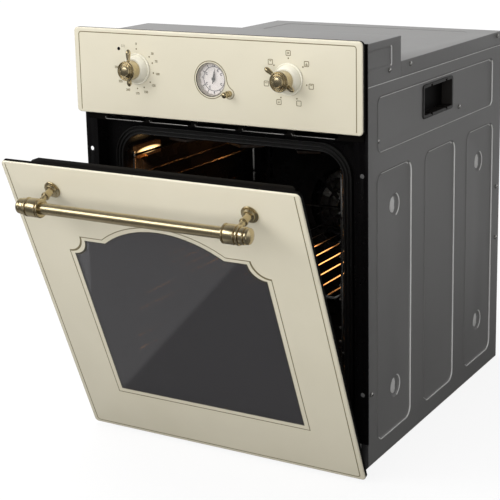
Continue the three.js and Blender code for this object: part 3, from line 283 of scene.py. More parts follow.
zinc, place, feed = new_finish("zinc_plate", Metallic=0.85)
crystals = place.node("TexVoronoi", {"Vector": place, "Scale": 140.0}, output="Color")
grey = crystals.node("SeparateColor", {0: crystals})
patches = place.noise(14.0)
feed(Base_Color=(grey * 0.6 + patches * 0.4).mix((150, 152, 154), (196, 198, 200)),
     Roughness=grey.spread(0.0, 1.0, 0.32, 0.5), Normal=place.noise(260.0).bump(0.00004))
dress(zinc, "base_pan", "hinge_receiver_left", "hinge_receiver_right",
      "door_hinge_left", "door_hinge_right", "thermostat", "selector_switch")
finer("rear_panel", zinc, 0.0004, smooth=20)
finer("air_duct_plate", zinc, 0.0003, smooth=20)


# Body sides and covers: thin sheet steel in warm grey powder paint, pressed with long sunk
# fields against rattle. The covers are folded boxes that lap over the sides and are screwed on.
def powder_paint(name, dull, bright, rough):
    """Fine-grained grey paint, a little cloudy."""
    material, place, feed = new_finish(name, Specular_IOR_Level=0.2)
    grain = place.noise(1500.0, 2.0)
    clouds = place.noise(9.0)
    tone = grain * 0.35 + clouds * 0.65
    feed(Base_Color=tone.between().mix(dull, bright),
         Roughness=clouds.between(rough, rough + 0.08), Normal=grain.bump(0.00006))
    return material


paint = powder_paint("grey_powder_paint", (132, 131, 130), (141, 140, 139), 0.4)
# A near-white paint that stands in for light caught on bends, bosses and the hem: a painted
# highlight.
painted_highlight = powder_paint("rubbed_paint", (232, 231, 229), (246, 245, 243), 0.22)


def added(name):
    """The piece that was just added, with its transform applied, under its name."""
    bpy.ops.object.transform_apply(location=True, rotation=True, scale=True)
    piece = bpy.context.object
    piece.name = piece.data.name = name
    return piece


def block(name, low, high):
    """A block between two corners."""
    low, high = Vector(low), Vector(high)
    bpy.ops.mesh.primitive_cube_add(size=1, location=(low + high) / 2, scale=high - low)
    return added(name)


TINY = 0.00001


def along(axis):
    """Tests for edges that run along an axis."""
    return lambda edge: abs((edge.verts[0].co - edge.verts[1].co).normalized()[axis]) > 0.999


def lying(axis, level):
    """Tests for edges that lie at one level of an axis."""
    return lambda edge: all(abs(v.co[axis] - level) < TINY for v in edge.verts)


def roll(piece, test, radius, steps, finish=-1):
    """Rounds the edges that pass the test, and can give the round its own finish."""
    with editing(piece):
        pick("edges", test)
        bpy.ops.mesh.bevel(offset=radius, segments=steps, affect="EDGES", material=finish)
    return piece


def plate(name, low, high, corner, steps=8):
    """An upright plate with round corners, seen from the front."""
    return roll(block(name, low, high), along(Y), corner, steps)


def combine(piece, tool, operation):
    """Cuts a tool out of a piece, adds it, or keeps what they share. The tool is used up."""
    modify(piece, "BOOLEAN", object=tool, operation=operation, solver="EXACT")
    bpy.data.meshes.remove(tool.data)
    return piece


def cut(piece, *tools):
    for tool in tools:
        combine(piece, tool, "DIFFERENCE")
    return piece


def turned(name, centre, axis, stations, sides=64):
    """A turned piece: a disc, drawn out along the axis and resized at each station after the
    first. A station is a distance along the axis and a radius; radius 0 closes the end."""
    centre, axis = Vector(centre), Vector(axis)
    (start, radius), *rest = stations
    bpy.ops.mesh.primitive_circle_add(
        vertices=sides, radius=radius, fill_type="NGON", location=centre + axis * start,
        rotation=axis.to_track_quat("Z", "Y").to_euler())
    piece = added(name)
    with editing(piece):
        for distance, size in rest:
            bpy.ops.mesh.extrude_region_move(
                TRANSFORM_OT_translate={"value": axis * (distance - start)})
            share = max(size, TINY) / radius
            bpy.ops.transform.resize(value=(share,) * 3,
                                     center_override=centre + axis * distance)
            start, radius = distance, max(size, TINY)
            if not size:
                bpy.ops.mesh.merge(type="COLLAPSE")
        bpy.ops.mesh.select_all(action="SELECT")
        bpy.ops.mesh.normals_make_consistent(inside=False)
    return piece


def rod(name, centre, axis, near, far, radius, sides=32):
    """A turned piece of one radius, from near to far along its axis."""
    return turned(name, centre, axis, [(near, radius), (far, radius)], sides)


def joined(name, pieces):
    """Several pieces as one."""
    take(pieces[0])
    for piece in pieces:
        piece.select_set(True)
    bpy.ops.object.join()
    bpy.context.object.name = bpy.context.object.data.name = name
    return bpy.context.object


def pressing(name, level, low, high, corner, depth, reach):
    """What a press takes out of a sheet that faces +X at a level: a round-cornered field
    whose walls slope in. Low and high are its corners in Y and Z."""
    tool = block(name, (level - depth, *low), (level + reach, *high))
    wide, tall, slope = high[0] - low[0], high[1] - low[1], 0.0018
    middle = (level, low[0] + wide / 2, low[1] + tall / 2)
    with editing(roll(tool, along(X), corner, 9)):
        bpy.ops.mesh.bisect(plane_co=(level, 0, 0), plane_no=(1, 0, 0))
        pick("verts", lambda vert: vert.co.x < level - depth + TINY)
        bpy.ops.transform.resize(value=(1, 1 - 2 * slope / wide, 1 - 2 * slope / tall),
                                 center_override=middle)
    return tool


def press(panel, low, high, corner):
    """Presses one field into the side sheet, with the bulge on its back."""
    bulge = pressing("bulge", side_x - sheet, low, high, corner, press_depth, 0.0003)
    combine(panel, bulge, "UNION")
    return cut(panel, pressing("field", side_x, low, high, corner, press_depth, 0.003))


def soften(panel, level, bright):
    """Rounds the bends of the pressings above a level, but not the cut edges, which are
    sharper. The faces of bends that pass the test get a bright paint, a painted highlight."""
    panel.data.materials.append(paint)
    panel.data.materials.append(painted_highlight)
    roll(panel, lambda edge: 0.2 < edge.calc_face_angle(0) < 1.2
         and min(v.co.x for v in edge.verts) > level, 0.001, 3, 1)
    for face in panel.data.polygons:
        if face.material_index and not bright(face):
            face.material_index = 0
    return panel


def mirrored(piece, name):
    """A copy of a piece for the other side."""
    other = duplicate(piece, name)
    with editing(other):
        bpy.ops.transform.resize(value=(-1, 1, 1), center_override=(0, 0, 0))
        bpy.ops.mesh.normals_make_consistent(inside=False)
    return other


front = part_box("control_panel")[0].y
side_low, side_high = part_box("side_panel_right")
sheet, side_x = 0.0012, side_high.x
press_depth, field_corner, band_corner = 0.0022, 0.016, 0.011
field_width, field_pitch, field_front = 0.112, 0.1595, front + 0.079
field_bottom, field_top = 0.026, 0.408
band_low, band_high = (front + 0.081, 0.436), (front + 0.505, 0.5115)
side = block("side_sheet_right", (side_x - sheet, side_low.y, side_low.z), side_high)
press(side, band_low, band_high, band_corner)
for number in range(3):
    start = field_front + number * field_pitch
    press(side, (start, field_bottom), (start + field_width, field_top), field_corner)
field_x, outer_bend = side_x - press_depth, side_x - 0.0011
dimples = [(0.14, 0.353), (0.455, 0.353), (0.144, 0.087), (0.459, 0.089)]
dimple_radius, boss_radius, rim_inner, rim_outer = 0.016, 0.0115, 0.0146, 0.0195
hollow = [(0.0, dimple_radius), (0.0026, 0.0132), (0.003, 0.0122), (0.0014, 0.0072),
          (0.0008, 0.0)]
for depth, height in dimples:
    spot = (field_x, front + depth, height)
    bulge = [(sheet - 0.0003, dimple_radius)] + [(d + sheet, r) for d, r in hollow[:3]]
    combine(side, turned("dimple_back", spot, (-1, 0, 0), bulge, 40), "UNION")
    cut(side, turned("dimple", spot, (-1, 0, 0), [(-0.001, dimple_radius)] + hollow, 40))


def from_dimples(face):
    """How far a face lies behind each dimple's centre, and how far from it in all."""
    back, height = face.center.y - front, face.center.z
    return [(back - y, math.hypot(back - y, height - z)) for y, z in dimples]


def rubbed_bend(face):
    """Whether a bend gets the bright paint of a painted highlight: the outer one, or the inner
    one along the top, both along the front, and the rear half of the dimples' rims."""
    near, lean = from_dimples(face), face.normal
    if min(reach for over, reach in near) > rim_outer:
        return lean.y > 0.15 or (face.center.x > outer_bend) != (-lean.z > abs(lean.y))
    return any(over > 0.004 and rim_inner < reach < rim_outer for over, reach in near)


soften(side, field_x - 0.0035, rubbed_bend)
hem_radius, hem_end = 0.0007, 0.0003
hem = rod("hem", (side_x - 0.0001, side_low.y + hem_end, side_high.z - 0.0008), BACKWARD,
          0, side_high.y - side_low.y - 2 * hem_end, hem_radius, 12)
combine(side, hem, "UNION")
# The hem bead and the forward side of each dimple's boss get the bright paint too: a painted
# highlight.
for face in side.data.polygons:
    on_hem = face.center.z > side_high.z - 0.0016 and face.center.x > side_x + TINY
    on_boss = (face.center.x < field_x and face.normal.y < 0.03
               and min(reach for over, reach in from_dimples(face)) < boss_radius)
    if on_hem or on_boss:
        face.material_index = 1
past, past_sides = 0.01, 0.3
grip_low, grip_high, grip_corner = (front + 0.236, 0.459), (front + 0.342, 0.503), 0.003
hole = block("grip_hole", (side_x - past, *grip_low), (side_x + past, *grip_high))
notch_depth, notch_top = 0.029, 0.017
cut(side, roll(hole, along(X), grip_corner, 5),
    block("swing_notch", (side_x - past, front, -past),
          (side_x + past, front + notch_depth, notch_top)))
for piece, name in ((side, "right"), (mirrored(side, "side_sheet_left"), "left")):
    finished(piece, ROOT, [paint, painted_highlight], ["side_panel_" + name], 25)

box_low, box_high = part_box("control_box_cover")
cover = block("control_box_lid", box_low, box_high)
cut(cover, block("inside", (box_low.x + sheet, box_low.y - past, box_low.z - past),
                 (box_high.x - sheet, box_high.y - sheet, box_high.z - sheet)))
recess_low, recess_high, recess_corner = (front + 0.044, 0.549), (front + 0.126, 0.575), 0.003
press(cover, recess_low, recess_high, recess_corner)
# The rear outer bend of the lid's recess gets the bright paint: a painted highlight.
soften(cover, field_x - 0.0001, lambda face: face.center.y > recess_high[0] - 0.004
       and face.center.x > outer_bend)
with editing(cover):
    bpy.ops.mesh.bisect(plane_co=(0, 0, 0), plane_no=(1, 0, 0), clear_inner=True)
modify(cover, "MIRROR", use_clip=True)
roll(cover, lambda edge: lying(Z, box_high.z)(edge) or lying(Y, box_high.y)(edge)
     and abs(edge.verts[0].co.x - edge.verts[1].co.x) > 0.1, 0.0007, 3)
finished(cover, ROOT, [paint, painted_highlight], ["control_box_cover"], 25)
top = finer("top_cover", paint, 0.0007, 3)
top_z, top_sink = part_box("top_cover")[1].z, 0.0004
top_half, top_front, top_rear, top_corner = 0.165, front + 0.19, front + 0.51, 0.012
cut(top, roll(block("top_field", (-top_half, top_front, top_z - top_sink),
                    (top_half, top_rear, top_z + past)), along(Z), top_corner, 6))


# Cavity: a deep-drawn box of sheet steel with a black speckled enamel fired on, wrapped in
# mineral wool. The fan cover hangs on the back wall and is enamelled like the box.
enamel, place, feed = new_finish("speckled_enamel", IOR=1.5, Specular_IOR_Level=0.2)
specks = place.noise(2600.0, 1.0)
stains = place.noise(18.0)
feed(Base_Color=specks.spread(0.62, 0.7).mix((14, 13, 13), (70, 68, 70)),
     Roughness=stains.between(0.2, 0.34), Normal=place.noise(700.0).bump(0.00003))
finer("cavity_liner", enamel, 0.0005)
finer("fan_cover", enamel, 0.0004)

wool, place, feed = new_finish("mineral_wool", Roughness=1.0)
tufts = place.noise(90.0, 6.0, 0.7)
feed(Base_Color=tufts.mix((150, 138, 96), (205, 196, 160)), Normal=tufts.bump(0.003))
dress(wool, "insulation_wrap")

mouth_corner = 0.034
rubber, place, feed = new_finish("door_seal", IOR=1.42, Specular_IOR_Level=0.45)
weave = place.noise(420.0)
feed(Base_Color=weave.mix((12, 11, 11), (20, 19, 18)),
     Roughness=weave.between(0.36, 0.5), Normal=weave.bump(0.0001))
gasket_low, gasket_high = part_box("door_gasket")
gasket_wide, bead, bead_rise, bead_roll = 0.013, 0.0026, 0.0024, 0.0011
bead_foot, sunk = gasket_low.y + bead_rise, 0.001


def inset_plate(name, inset, near, far):
    """A plate with the gasket's outline, set in from it, from near to far in Y."""
    return plate(name, (gasket_low.x + inset, near, gasket_low.z + inset),
                 (gasket_high.x - inset, far, gasket_high.z - inset),
                 mouth_corner + gasket_wide - inset, 12)


seal = cut(inset_plate("gasket_foot", 0.0, bead_foot, gasket_high.y),
           inset_plate("mouth", gasket_wide, gasket_low.y - past, gasket_high.y + past))
rings = [seal]
for inset in (0.0, (gasket_wide - bead) / 2, gasket_wide - bead):
    ring = cut(inset_plate("bead", inset, gasket_low.y, bead_foot + sunk),
               inset_plate("inner", inset + bead, gasket_low.y - sunk, bead_foot + 2 * sunk))
    rings.append(roll(ring, lying(Y, gasket_low.y), bead_roll, 3))
finished(joined("door_gasket_beads", rings), ROOT, rubber, ["door_gasket"])


# Fans and elements: a pressed steel wheel in the cavity, a drum blower over it, nickel-steel
# tubes for the grill and the ring, browned where they have glowed.
steel = mottled("pressed_steel", 160.0, (126, 124, 120), (176, 174, 170),
                (160.0, 0.25, 0.42), Metallic=1.0)
dress(steel, "convection_fan", "convection_motor", "cooling_rotor", "cooling_blower_housing")

tube, place, feed = new_finish("browned_tube", Metallic=1.0)
glow = place.noise(22.0)
feed(Base_Color=glow.spread(0.35, 0.65).mix((74, 60, 52), (120, 110, 104)),
     Roughness=glow.between(0.3, 0.5))
for node in ("grill_element", "ring_element"):
    finer(node, tube, 0)
dress(tube, "bottom_element")


# Side racks and shelf: round chrome-plated wire, welded. The racks hook into the side walls.
chrome = mottled("chrome_wire", 60.0, (168, 166, 162), (206, 205, 202),
                 (60.0, 0.12, 0.26), Metallic=1.0)
for node in ("side_rack_left", "side_rack_right", "wire_shelf"):
    finer(node, chrome, 0, smooth=60)


# Lamp: a pressed glass lens in a frame on the left wall, lit warm from behind.
lens, place, feed = new_finish("lit_lens", Emission_Strength=3.5, Roughness=0.15)
ribs = place.node("TexWave", {"Vector": place, "Scale": 60.0}, bands_direction="Y")
lamp_low, lamp_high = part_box("lamp_lens")
lamp_middle = (lamp_low + lamp_high) / 2
off = place.node("VectorMath", {0: place, 1: tuple(lamp_middle)}, operation="SUBTRACT")
hot = off.stretched(0, 32.0, 190.0).length().spread(0.35, 1.0, 1.0, 0.0)
feed(Base_Color=ribs.mix((70, 50, 30), (90, 66, 40)),
     Emission_Color=hot.mix((16, 6, 2), (255, 206, 140)))
dress(lens, "lamp_lens")
dress(mottled("lamp_ceramic", 120.0, (196, 192, 184), (220, 216, 208), Roughness=0.7),
      "lamp_holder")


# Face frame: one pressing of sheet steel in gloss black, which holds the cavity's mouth and
# rests on the cabinet with its flanges. The carrier of the controls is moulded black plastic.
black, place, feed = new_finish("gloss_black", IOR=1.5, Specular_IOR_Level=0.15)
drift = place.noise(30.0)
feed(Base_Color=drift.mix((8, 7, 8), (13, 12, 12)),
     Roughness=drift.between(0.22, 0.32), Normal=place.noise(900.0).bump(0.00002))
finer("front_frame", black, 0.0006)
tab_thick, tab_low, tab_high = 0.0008, (front + 0.0295, 0.0005), (front + 0.0505, 0.044)
tabs = []
for sign in (-1, 1):
    left, right = sorted((sign * side_x, sign * (side_x + tab_thick)))
    tabs.append(roll_edges(block("frame_tab", (left, *tab_low), (right, *tab_high)), 0.0003))
finished(joined("frame_tabs", tabs), ROOT, black)

moulded, place, feed = new_finish("moulded_black", IOR=1.45, Specular_IOR_Level=0.03)
grain = place.noise(2200.0)
feed(Base_Color=place.noise(25.0).mix((10, 9, 8), (15, 13, 12)),
     Roughness=grain.between(0.42, 0.56), Normal=grain.bump(0.00004))
finer("panel_carrier", moulded, 0.0004)
satin_black = mottled("satin_black", 60.0, (26, 24, 22), (34, 31, 29), (900.0, 0.4, 0.5),
                      IOR=1.45, Specular_IOR_Level=0.2)


def refinish(piece, finish, test):
    """Gives the faces that pass the test a second finish."""
    piece.data.materials.append(finish)
    for face in piece.data.polygons:
        face.material_index = int(test(face))
    return piece


notch_inset, notch_half, notch_rise = 0.0012, 0.003, 0.0022
for side in ("left", "right"):
    pocket = finer("grip_pocket_" + side, satin_black, 0.0006)
    for share in (0.27, 0.78):
        spot = grip_low[0] + share * (grip_high[0] - grip_low[0])
        for level in (grip_low[1] + notch_inset, grip_high[1] - notch_inset):
            cut(pocket, block("notch", (-past_sides, spot - notch_half, level - notch_rise),
                              (past_sides, spot + notch_half, level + notch_rise)))
    # The pocket's deep back wall gets the darker moulded plastic: painted shade in the recess.
    refinish(pocket, moulded, lambda face: abs(face.normal.x) > 0.9
             and abs(face.center.x) < side_x - 0.004)
dress(moulded, "clock_movement", "mains_inlet")


# Control panel: toughened glass with cream enamel fired on its face, rolled at its edges. A
# thin brown line, the scales and the signs are printed on it.
cream, place, feed = new_finish("cream_enamelled_glass", IOR=1.5, Coat_Weight=0.0)
cloud = place.noise(7.0)
feed(Base_Color=cloud.between().mix((221, 214, 192), (226, 219, 198)),
     Roughness=cloud.between(0.1, 0.16), Normal=place.noise(60.0).bump(0.00001))
brown = mottled("brown_print", 300.0, (112, 102, 72), (126, 115, 84), (90.0, 0.35, 0.45),
                IOR=1.45)

panel_low, panel_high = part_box("control_panel")
front_corner, front_roll = 0.006, 0.002
print_film, print_line = 0.00012, 0.0012
clock_x, clock_z = 0.0, 0.5335
ear_x, ear_z = 0.029, 0.5165
light_x, light_z = -0.1485, 0.568
panel = plate("control_panel_glass", panel_low, panel_high, front_corner)
roll(panel, lying(Y, panel_low.y), front_roll, 5)
for x, z, radius, sides in ((clock_x, clock_z, 0.023, 96), (light_x, light_z, 0.0024, 32),
                            (ear_x, ear_z, 0.0022, 32)):
    cut(panel, rod("hole", (x, front, z), BACKWARD, -0.02, 0.02, radius, sides))


def back_black(sheet):
    """Gives the cut edges and the back of a front sheet their black print."""
    sheet.data.materials.append(cream)
    return refinish(sheet, moulded, lambda face: face.normal.y > 0.9
                    or face.center.y > front + front_roll + 0.0001)


finished(back_black(panel), ROOT, [cream, moulded], ["control_panel"], 30)

border_side, border_top, border_end, border_corner = 0.008, 0.0055, 0.004, 0.0045


def outline(name, low_x, high_x, low_z, high_z, corner, width=print_line):
    """A printed line round a rectangle with round corners."""
    return cut(plate(name, (low_x, front - print_film, low_z),
                     (high_x, front + print_film, high_z), corner, 6),
               plate("inner", (low_x + width, front - past, low_z + width),
                     (high_x - width, front + past, high_z - width), corner - width, 6))


def dot(x, z, radius):
    """A printed round dot."""
    return rod("dot", (x, front, z), BACKWARD, -print_film, print_film, radius, 24)


border = outline("panel_border", panel_low.x + border_side, panel_high.x - border_side,
                 panel_low.z - 0.02, panel_high.z - border_top, border_corner)
cut(border, block("below", (-past_sides, front - past, 0.4),
                  (past_sides, front + past, panel_low.z + border_end)))


def stroke(points, width=print_line, closed=False, level=front):
    """A printed line through points, given as X and Z."""
    path = bpy.data.curves.new("stroke", "CURVE")
    path.dimensions, path.bevel_depth, path.bevel_resolution = "3D", width / 2, 2
    spline = path.splines.new("POLY")
    spline.points.add(len(points) - 1)
    for point, (x, z) in zip(spline.points, points):
        point.co = (x, level, z, 1)
    spline.use_cyclic_u = closed
    line = bpy.data.objects.new("stroke", path)
    bpy.context.scene.collection.objects.link(line)
    take(line)
    bpy.ops.object.convert(target="MESH")
    with editing(line):
        bpy.ops.transform.resize(value=(1, 2 * print_film / width, 1),
                                 center_override=(0, level, 0))
    return line


def arc(x, z, radius, start, stop, steps):
    """Points on an arc, with angles in degrees from the right, anticlockwise."""
    turns = [math.radians(start + (stop - start) * i / steps) for i in range(steps + 1)]
    return [(x + radius * math.cos(t), z + radius * math.sin(t)) for t in turns]


def figures(text, x, z, height, level=front):
    """Printed figures, centred on a place."""
    bpy.ops.object.text_add()
    words = bpy.context.object
    words.data.body, words.data.size, words.data.extrude = text, height, print_film
    words.data.align_x, words.data.align_y = "CENTER", "CENTER"
    words.data.offset = height * 0.03
    bpy.ops.object.convert(target="MESH")
    words.location, words.rotation_euler = (x, level, z), (math.pi / 2, 0, 0)
    return added("figures")


bezel_foot = 0.0214
knob_x, knob_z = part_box("temperature_bezel")[0].x + bezel_foot, 0.5415
mark_ring, figure_ring, sign_ring = 0.0273, 0.0343, 0.034
mark_radius, figure_height = 0.0011, 0.0044
temperatures = {0: 0, 50: 50, 75: 70.2, 100: 99.2, 125: 129.3, 150: 156.8, 175: 181,
                200: 208.6, 225: 236.3, 250: 270.7}


def clockwise(x, z, radius, turn):
    """A place on a circle, some degrees clockwise from its top."""
    angle = math.radians(turn)
    return x + radius * math.sin(angle), z + radius * math.cos(angle)


def toward(start, stop):
    """The direction from one place to another, in degrees from the right, anticlockwise."""
    return math.degrees(math.atan2(stop[1] - start[1], stop[0] - start[0]))


def eared_ring(ring, lobe, right_blend, low_blend):
    """The outline round the clock and its setting knob: two arcs, and two that blend them."""
    clock, ear = (clock_x, clock_z), (ear_x, ear_z)
    span, lean = math.dist(clock, ear), math.radians(toward(clock, ear))
    centres = []
    for blend, way in ((right_blend, 1), (low_blend, -1)):
        far, near = ring + blend, lobe + blend
        turn = lean + way * math.acos((far ** 2 + span ** 2 - near ** 2) / (2 * far * span))
        centres.append((clock_x + far * math.cos(turn), clock_z + far * math.sin(turn)))
    right, low = centres
    points = []
    for centre, radius, start, stop, way, steps in (
            (clock, ring, right, low, 1, 90), (low, low_blend, clock, ear, -1, 10),
            (ear, lobe, low, right, 1, 30), (right, right_blend, ear, clock, -1, 14)):
        begin = toward(centre, start)
        sweep = way * ((way * (toward(centre, stop) - begin)) % 360)
        points += arc(*centre, radius, begin, begin + sweep, steps)[:-1]
    return points


prints = [border, stroke(eared_ring(0.0252, 0.007, 0.016, 0.005), print_line, True)]
steam = [(0, -0.0018), (-0.0006, -0.0006), (0.0006, 0.0006), (0, 0.0018)]
for x, z in ((-0.1434, 0.5722), (-0.1411, 0.572), (-0.1388, 0.5718)):
    prints.append(stroke([(x + over, z + up) for over, up in steam], 0.0006))
for value, turn in temperatures.items():
    prints.append(dot(*clockwise(knob_x, knob_z, mark_ring, turn), mark_radius))
    prints.append(figures(str(value), *clockwise(knob_x, knob_z, figure_ring, turn),
                          figure_height))
sign_half, sign_line, sign_corner = 0.0037, 0.0009, 0.0013
bar = [(-0.45, 0.45), (0.45, 0.45)]
cross = [[(-0.4, -0.4), (0.4, 0.4)], [(-0.4, 0.4), (0.4, -0.4)]]
base_bar = [(-0.45, -0.45), (0.45, -0.45)]
peak = [(-0.3, -0.25), (0, 0.3), (0.3, -0.25), (-0.3, -0.25)]
comb = [(-0.45, 0.45), (-0.2, 0.1), (0, 0.45), (0.2, 0.1), (0.45, 0.45)]
sign_marks = [cross, [peak, base_bar], [bar], [], [peak], [comb], [bar, [(0, 0.45), (0, 0.1)]]]
for program, marks in enumerate(sign_marks):
    turn = 360 * program / len(sign_marks)
    prints.append(dot(*clockwise(-knob_x, knob_z, mark_ring, turn), mark_radius))
    x, z = clockwise(-knob_x, knob_z, sign_ring, turn)
    prints.append(outline("sign", x - sign_half, x + sign_half, z - sign_half, z + sign_half,
                          sign_corner, sign_line))
    for mark in marks:
        prints.append(stroke([(x + sign_half * a, z + sign_half * b) for a, b in mark],
                             sign_line * 0.9))
finished(joined("panel_print", prints), ROOT, brown)


# Bright steel strokes along the lower edges of the carrier's slots stand in for light caught
# there: painted highlights.
slot_z, slot_pitch, slot_half = 0.4664, 0.075, 0.0315
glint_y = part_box("panel_carrier")[0].y - print_film
slot_glints = []
for number in range(-2, 3):
    left, right = number * slot_pitch - slot_half, number * slot_pitch + slot_half
    slot_glints.append(stroke([(left - 0.0006, slot_z + 0.003), (left + 0.001, slot_z),
                        (right, slot_z)], print_line, False, glint_y))
finished(joined("slot_lips", slot_glints), ROOT, steel)


# Bezels: cream plastic cones behind the knobs, moulded with a thin step at their foot.
ivory = mottled("cream_plastic", 40.0, (237, 232, 214), (241, 237, 221), (30.0, 0.24, 0.32),
                IOR=1.46)
bezel_stations = [(0.0003, bezel_foot), (0.002, bezel_foot), (0.0026, 0.0208),
                  (0.0027, 0.0197), (0.0017, 0.0196), (0.0017, 0.019), (0.0034, 0.019),
                  (0.004, 0.0187), (0.0112, 0.0159), (0.012, 0.0151)]
for name, x in (("temperature", knob_x), ("function", -knob_x)):
    spot = (x, front, knob_z)
    bezel = cut(turned(name + "_bezel_cone", spot, FORWARD, bezel_stations, 96),
                rod("shaft", spot, FORWARD, -0.01, 0.03, 0.0036))
    finished(roll_edges(bezel, 0.0003, angle=30), ROOT, ivory, [name + "_bezel"])


# Knobs: turned brass with an antique satin finish, brushed round, with a lever of two
# dropped pins through the barrel. They push on the shafts of the switches behind.
brass, place, feed = new_finish("antique_brass", Metallic=1.0)
brush = place.stretched(1.0, 12.0, 12.0).noise(700.0, 2.0)
tarnish = place.noise(55.0)
feed(Base_Color=(brush * 0.4 + tarnish * 0.6).spread(0.35, 0.65)
     .mix((196, 180, 143), (210, 194, 158)),
     Roughness=brush.between(0.22, 0.32), Normal=brush.bump(0.000004))
turned_brass, place, feed = new_finish("turned_brass", Metallic=1.0)
feed(Base_Color=place.noise(55.0).spread(0.35, 0.65).mix((196, 180, 143), (210, 194, 158)),
     Roughness=place.noise(240.0).between(0.2, 0.27))
knob_stations = [(0.0122, 0.0128), (0.0125, 0.0134), (0.025, 0.0134), (0.0254, 0.0137),
                 (0.0263, 0.0137), (0.0271, 0.0131), (0.0272, 0.0123), (0.0262, 0.0115),
                 (0.0262, 0.0106), (0.0284, 0.0101), (0.0287, 0.0093), (0.028, 0.0087),
                 (0.028, 0.0081), (0.0303, 0.0078), (0.031, 0.0073), (0.0311, 0.0064),
                 (0.0303, 0.0059), (0.0329, 0)]
lever_depth, pin_radius, pin_end = 0.0192, 0.0026, 0.0286
pin_stations = [(0.0115, pin_radius), (0.0135, 0.0024), (0.02, 0.0032), (0.0222, 0.0035),
                (0.0245, 0.0034), (0.0262, 0.0029), (0.0275, 0.0021), (0.0283, 0.0012),
                (pin_end, 0.0004)]


def knob(name, x, turn):
    """A knob with its lever turned clockwise by some degrees."""
    parts = [roll_edges(turned(name, (x, front, knob_z), FORWARD, knob_stations, 72),
                        0.00025, angle=30)]
    for reach, start in ((0.029, 0), (0.022, 180)):
        angle = math.radians(turn + start)
        direction = (math.sin(angle), 0, math.cos(angle))
        stations = [(0.0, pin_radius)] + [(d + reach - pin_end, r) for d, r in pin_stations]
        parts.append(turned("pin", (x, front - lever_depth, knob_z), direction, stations, 24))
    return joined(name, parts)


for name, x, turn in (("temperature", knob_x, 0), ("function", -knob_x, -56)):
    finished(knob(name + "_knob_brass", x, turn), name + "_dial", turned_brass,
             [name + "_knob"])


# Clock: a drum let into the panel behind its own glass, with a paper dial, two blackened
# hands and a small brass setting knob at its foot.
card = mottled("dial_card", 200.0, (238, 229, 223), (242, 234, 229), Roughness=0.6)
face_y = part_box("clock_dial")[0].y
dish_stations = [(-0.0012, 0.021), (-0.001, 0.0215), (0.0042, 0.0223), (0.0042, 0.0218),
                 (0.0, 0.021), (0.0, 0.0)]
spot = (clock_x, face_y, clock_z)
dish = cut(turned("clock_dial_dish", spot, FORWARD, dish_stations, 96),
           rod("shaft", spot, FORWARD, -0.01, 0.01, 0.0018))
finished(dish, ROOT, card, ["clock_dial"])
ink = mottled("dial_ink", 300.0, (62, 56, 60), (78, 72, 76), Roughness=0.5)
level, dial_line = face_y - 0.0002, 0.001
ring_radius, tick_end, numeral_ring, numeral_height = 0.0164, 0.0206, 0.0186, 0.005
hook_ring, hook_radius, hooked = 0.0132, 0.0014, (1, 2, 4, 7, 8, 10)
dial_prints = [stroke(arc(clock_x, clock_z, ring_radius, 0, 354, 59), dial_line, True, level)]
for hour in range(12):
    near, far, numeral, hook = (clockwise(clock_x, clock_z, radius, 30 * hour) for radius in
                                (ring_radius, tick_end, numeral_ring, hook_ring))
    if hour % 3:
        dial_prints.append(stroke([near, far], 0.0011, False, level))
    else:
        dial_prints.append(figures(str(hour or 12), *numeral, numeral_height, level))
    if hour in hooked:
        dial_prints.append(stroke(arc(*hook, hook_radius, 40, 320, 12), dial_line, False, level))
finished(joined("dial_print", dial_prints), ROOT, ink)
finer("clock_housing", mottled("clock_drum", 80.0, (168, 160, 148), (186, 178, 166),
                               (50.0, 0.3, 0.4), Metallic=0.3), 0)
hand_black = mottled("hand_black", 400.0, (48, 42, 36), (60, 54, 46), Roughness=0.4)
for node in ("minute_hand", "hour_hand"):
    finer(node, hand_black, 0)
dress(mottled("thin_clear_glass", 3.0, (238, 240, 240), (246, 248, 248), Roughness=0.02,
              IOR=1.5, Alpha=0.1), "clock_glass")
setter_stations = [(0.0003, 0.004), (0.0006, 0.0044), (0.006, 0.0044), (0.0068, 0.004),
                   (0.0074, 0.0034), (0.0104, 0.0032), (0.0112, 0.0036), (0.0125, 0.0042),
                   (0.014, 0.0041), (0.0152, 0.0033), (0.0158, 0.002), (0.016, 0.0)]
finished(turned("clock_knob_brass", (ear_x, front, ear_z), FORWARD, setter_stations, 48),
         "clock_setter", turned_brass, ["clock_knob"])
dress(mottled("dark_lens", 100.0, (8, 8, 8), (16, 12, 10), (60.0, 0.1, 0.2), IOR=1.5),
      "indicator_lens")


# Door: one sheet of toughened glass, cream enamelled round an arched window of smoked glass.
# It is modelled shut and then swung open about the hinge pins.
hinge = next(j for j in frame["joints"] if j["name"] == "door_hinge")
rest_angle = -hinge["range_deg"][0]
pin = Vector(hinge["pos_m"])
door_bottom, door_top, door_thick = 0.007, 0.473, 0.007
half_wide = panel_high.x


def swing(piece):
    """Opens a piece of the shut door to where it rests in the photograph."""
    with editing(piece):
        bpy.ops.transform.rotate(value=-math.radians(rest_angle), orient_axis="X",
                                 orient_type="GLOBAL", center_override=pin)
    return piece


window_half, window_bottom, window_flat = 0.1495, 0.0896, 0.3567
arch_half, arch_rise, shoulder = 0.092, 0.0305, 0.0235
arch_radius = (arch_half ** 2 + arch_rise ** 2) / (2 * arch_rise)
arch_z = window_flat + arch_rise - arch_radius


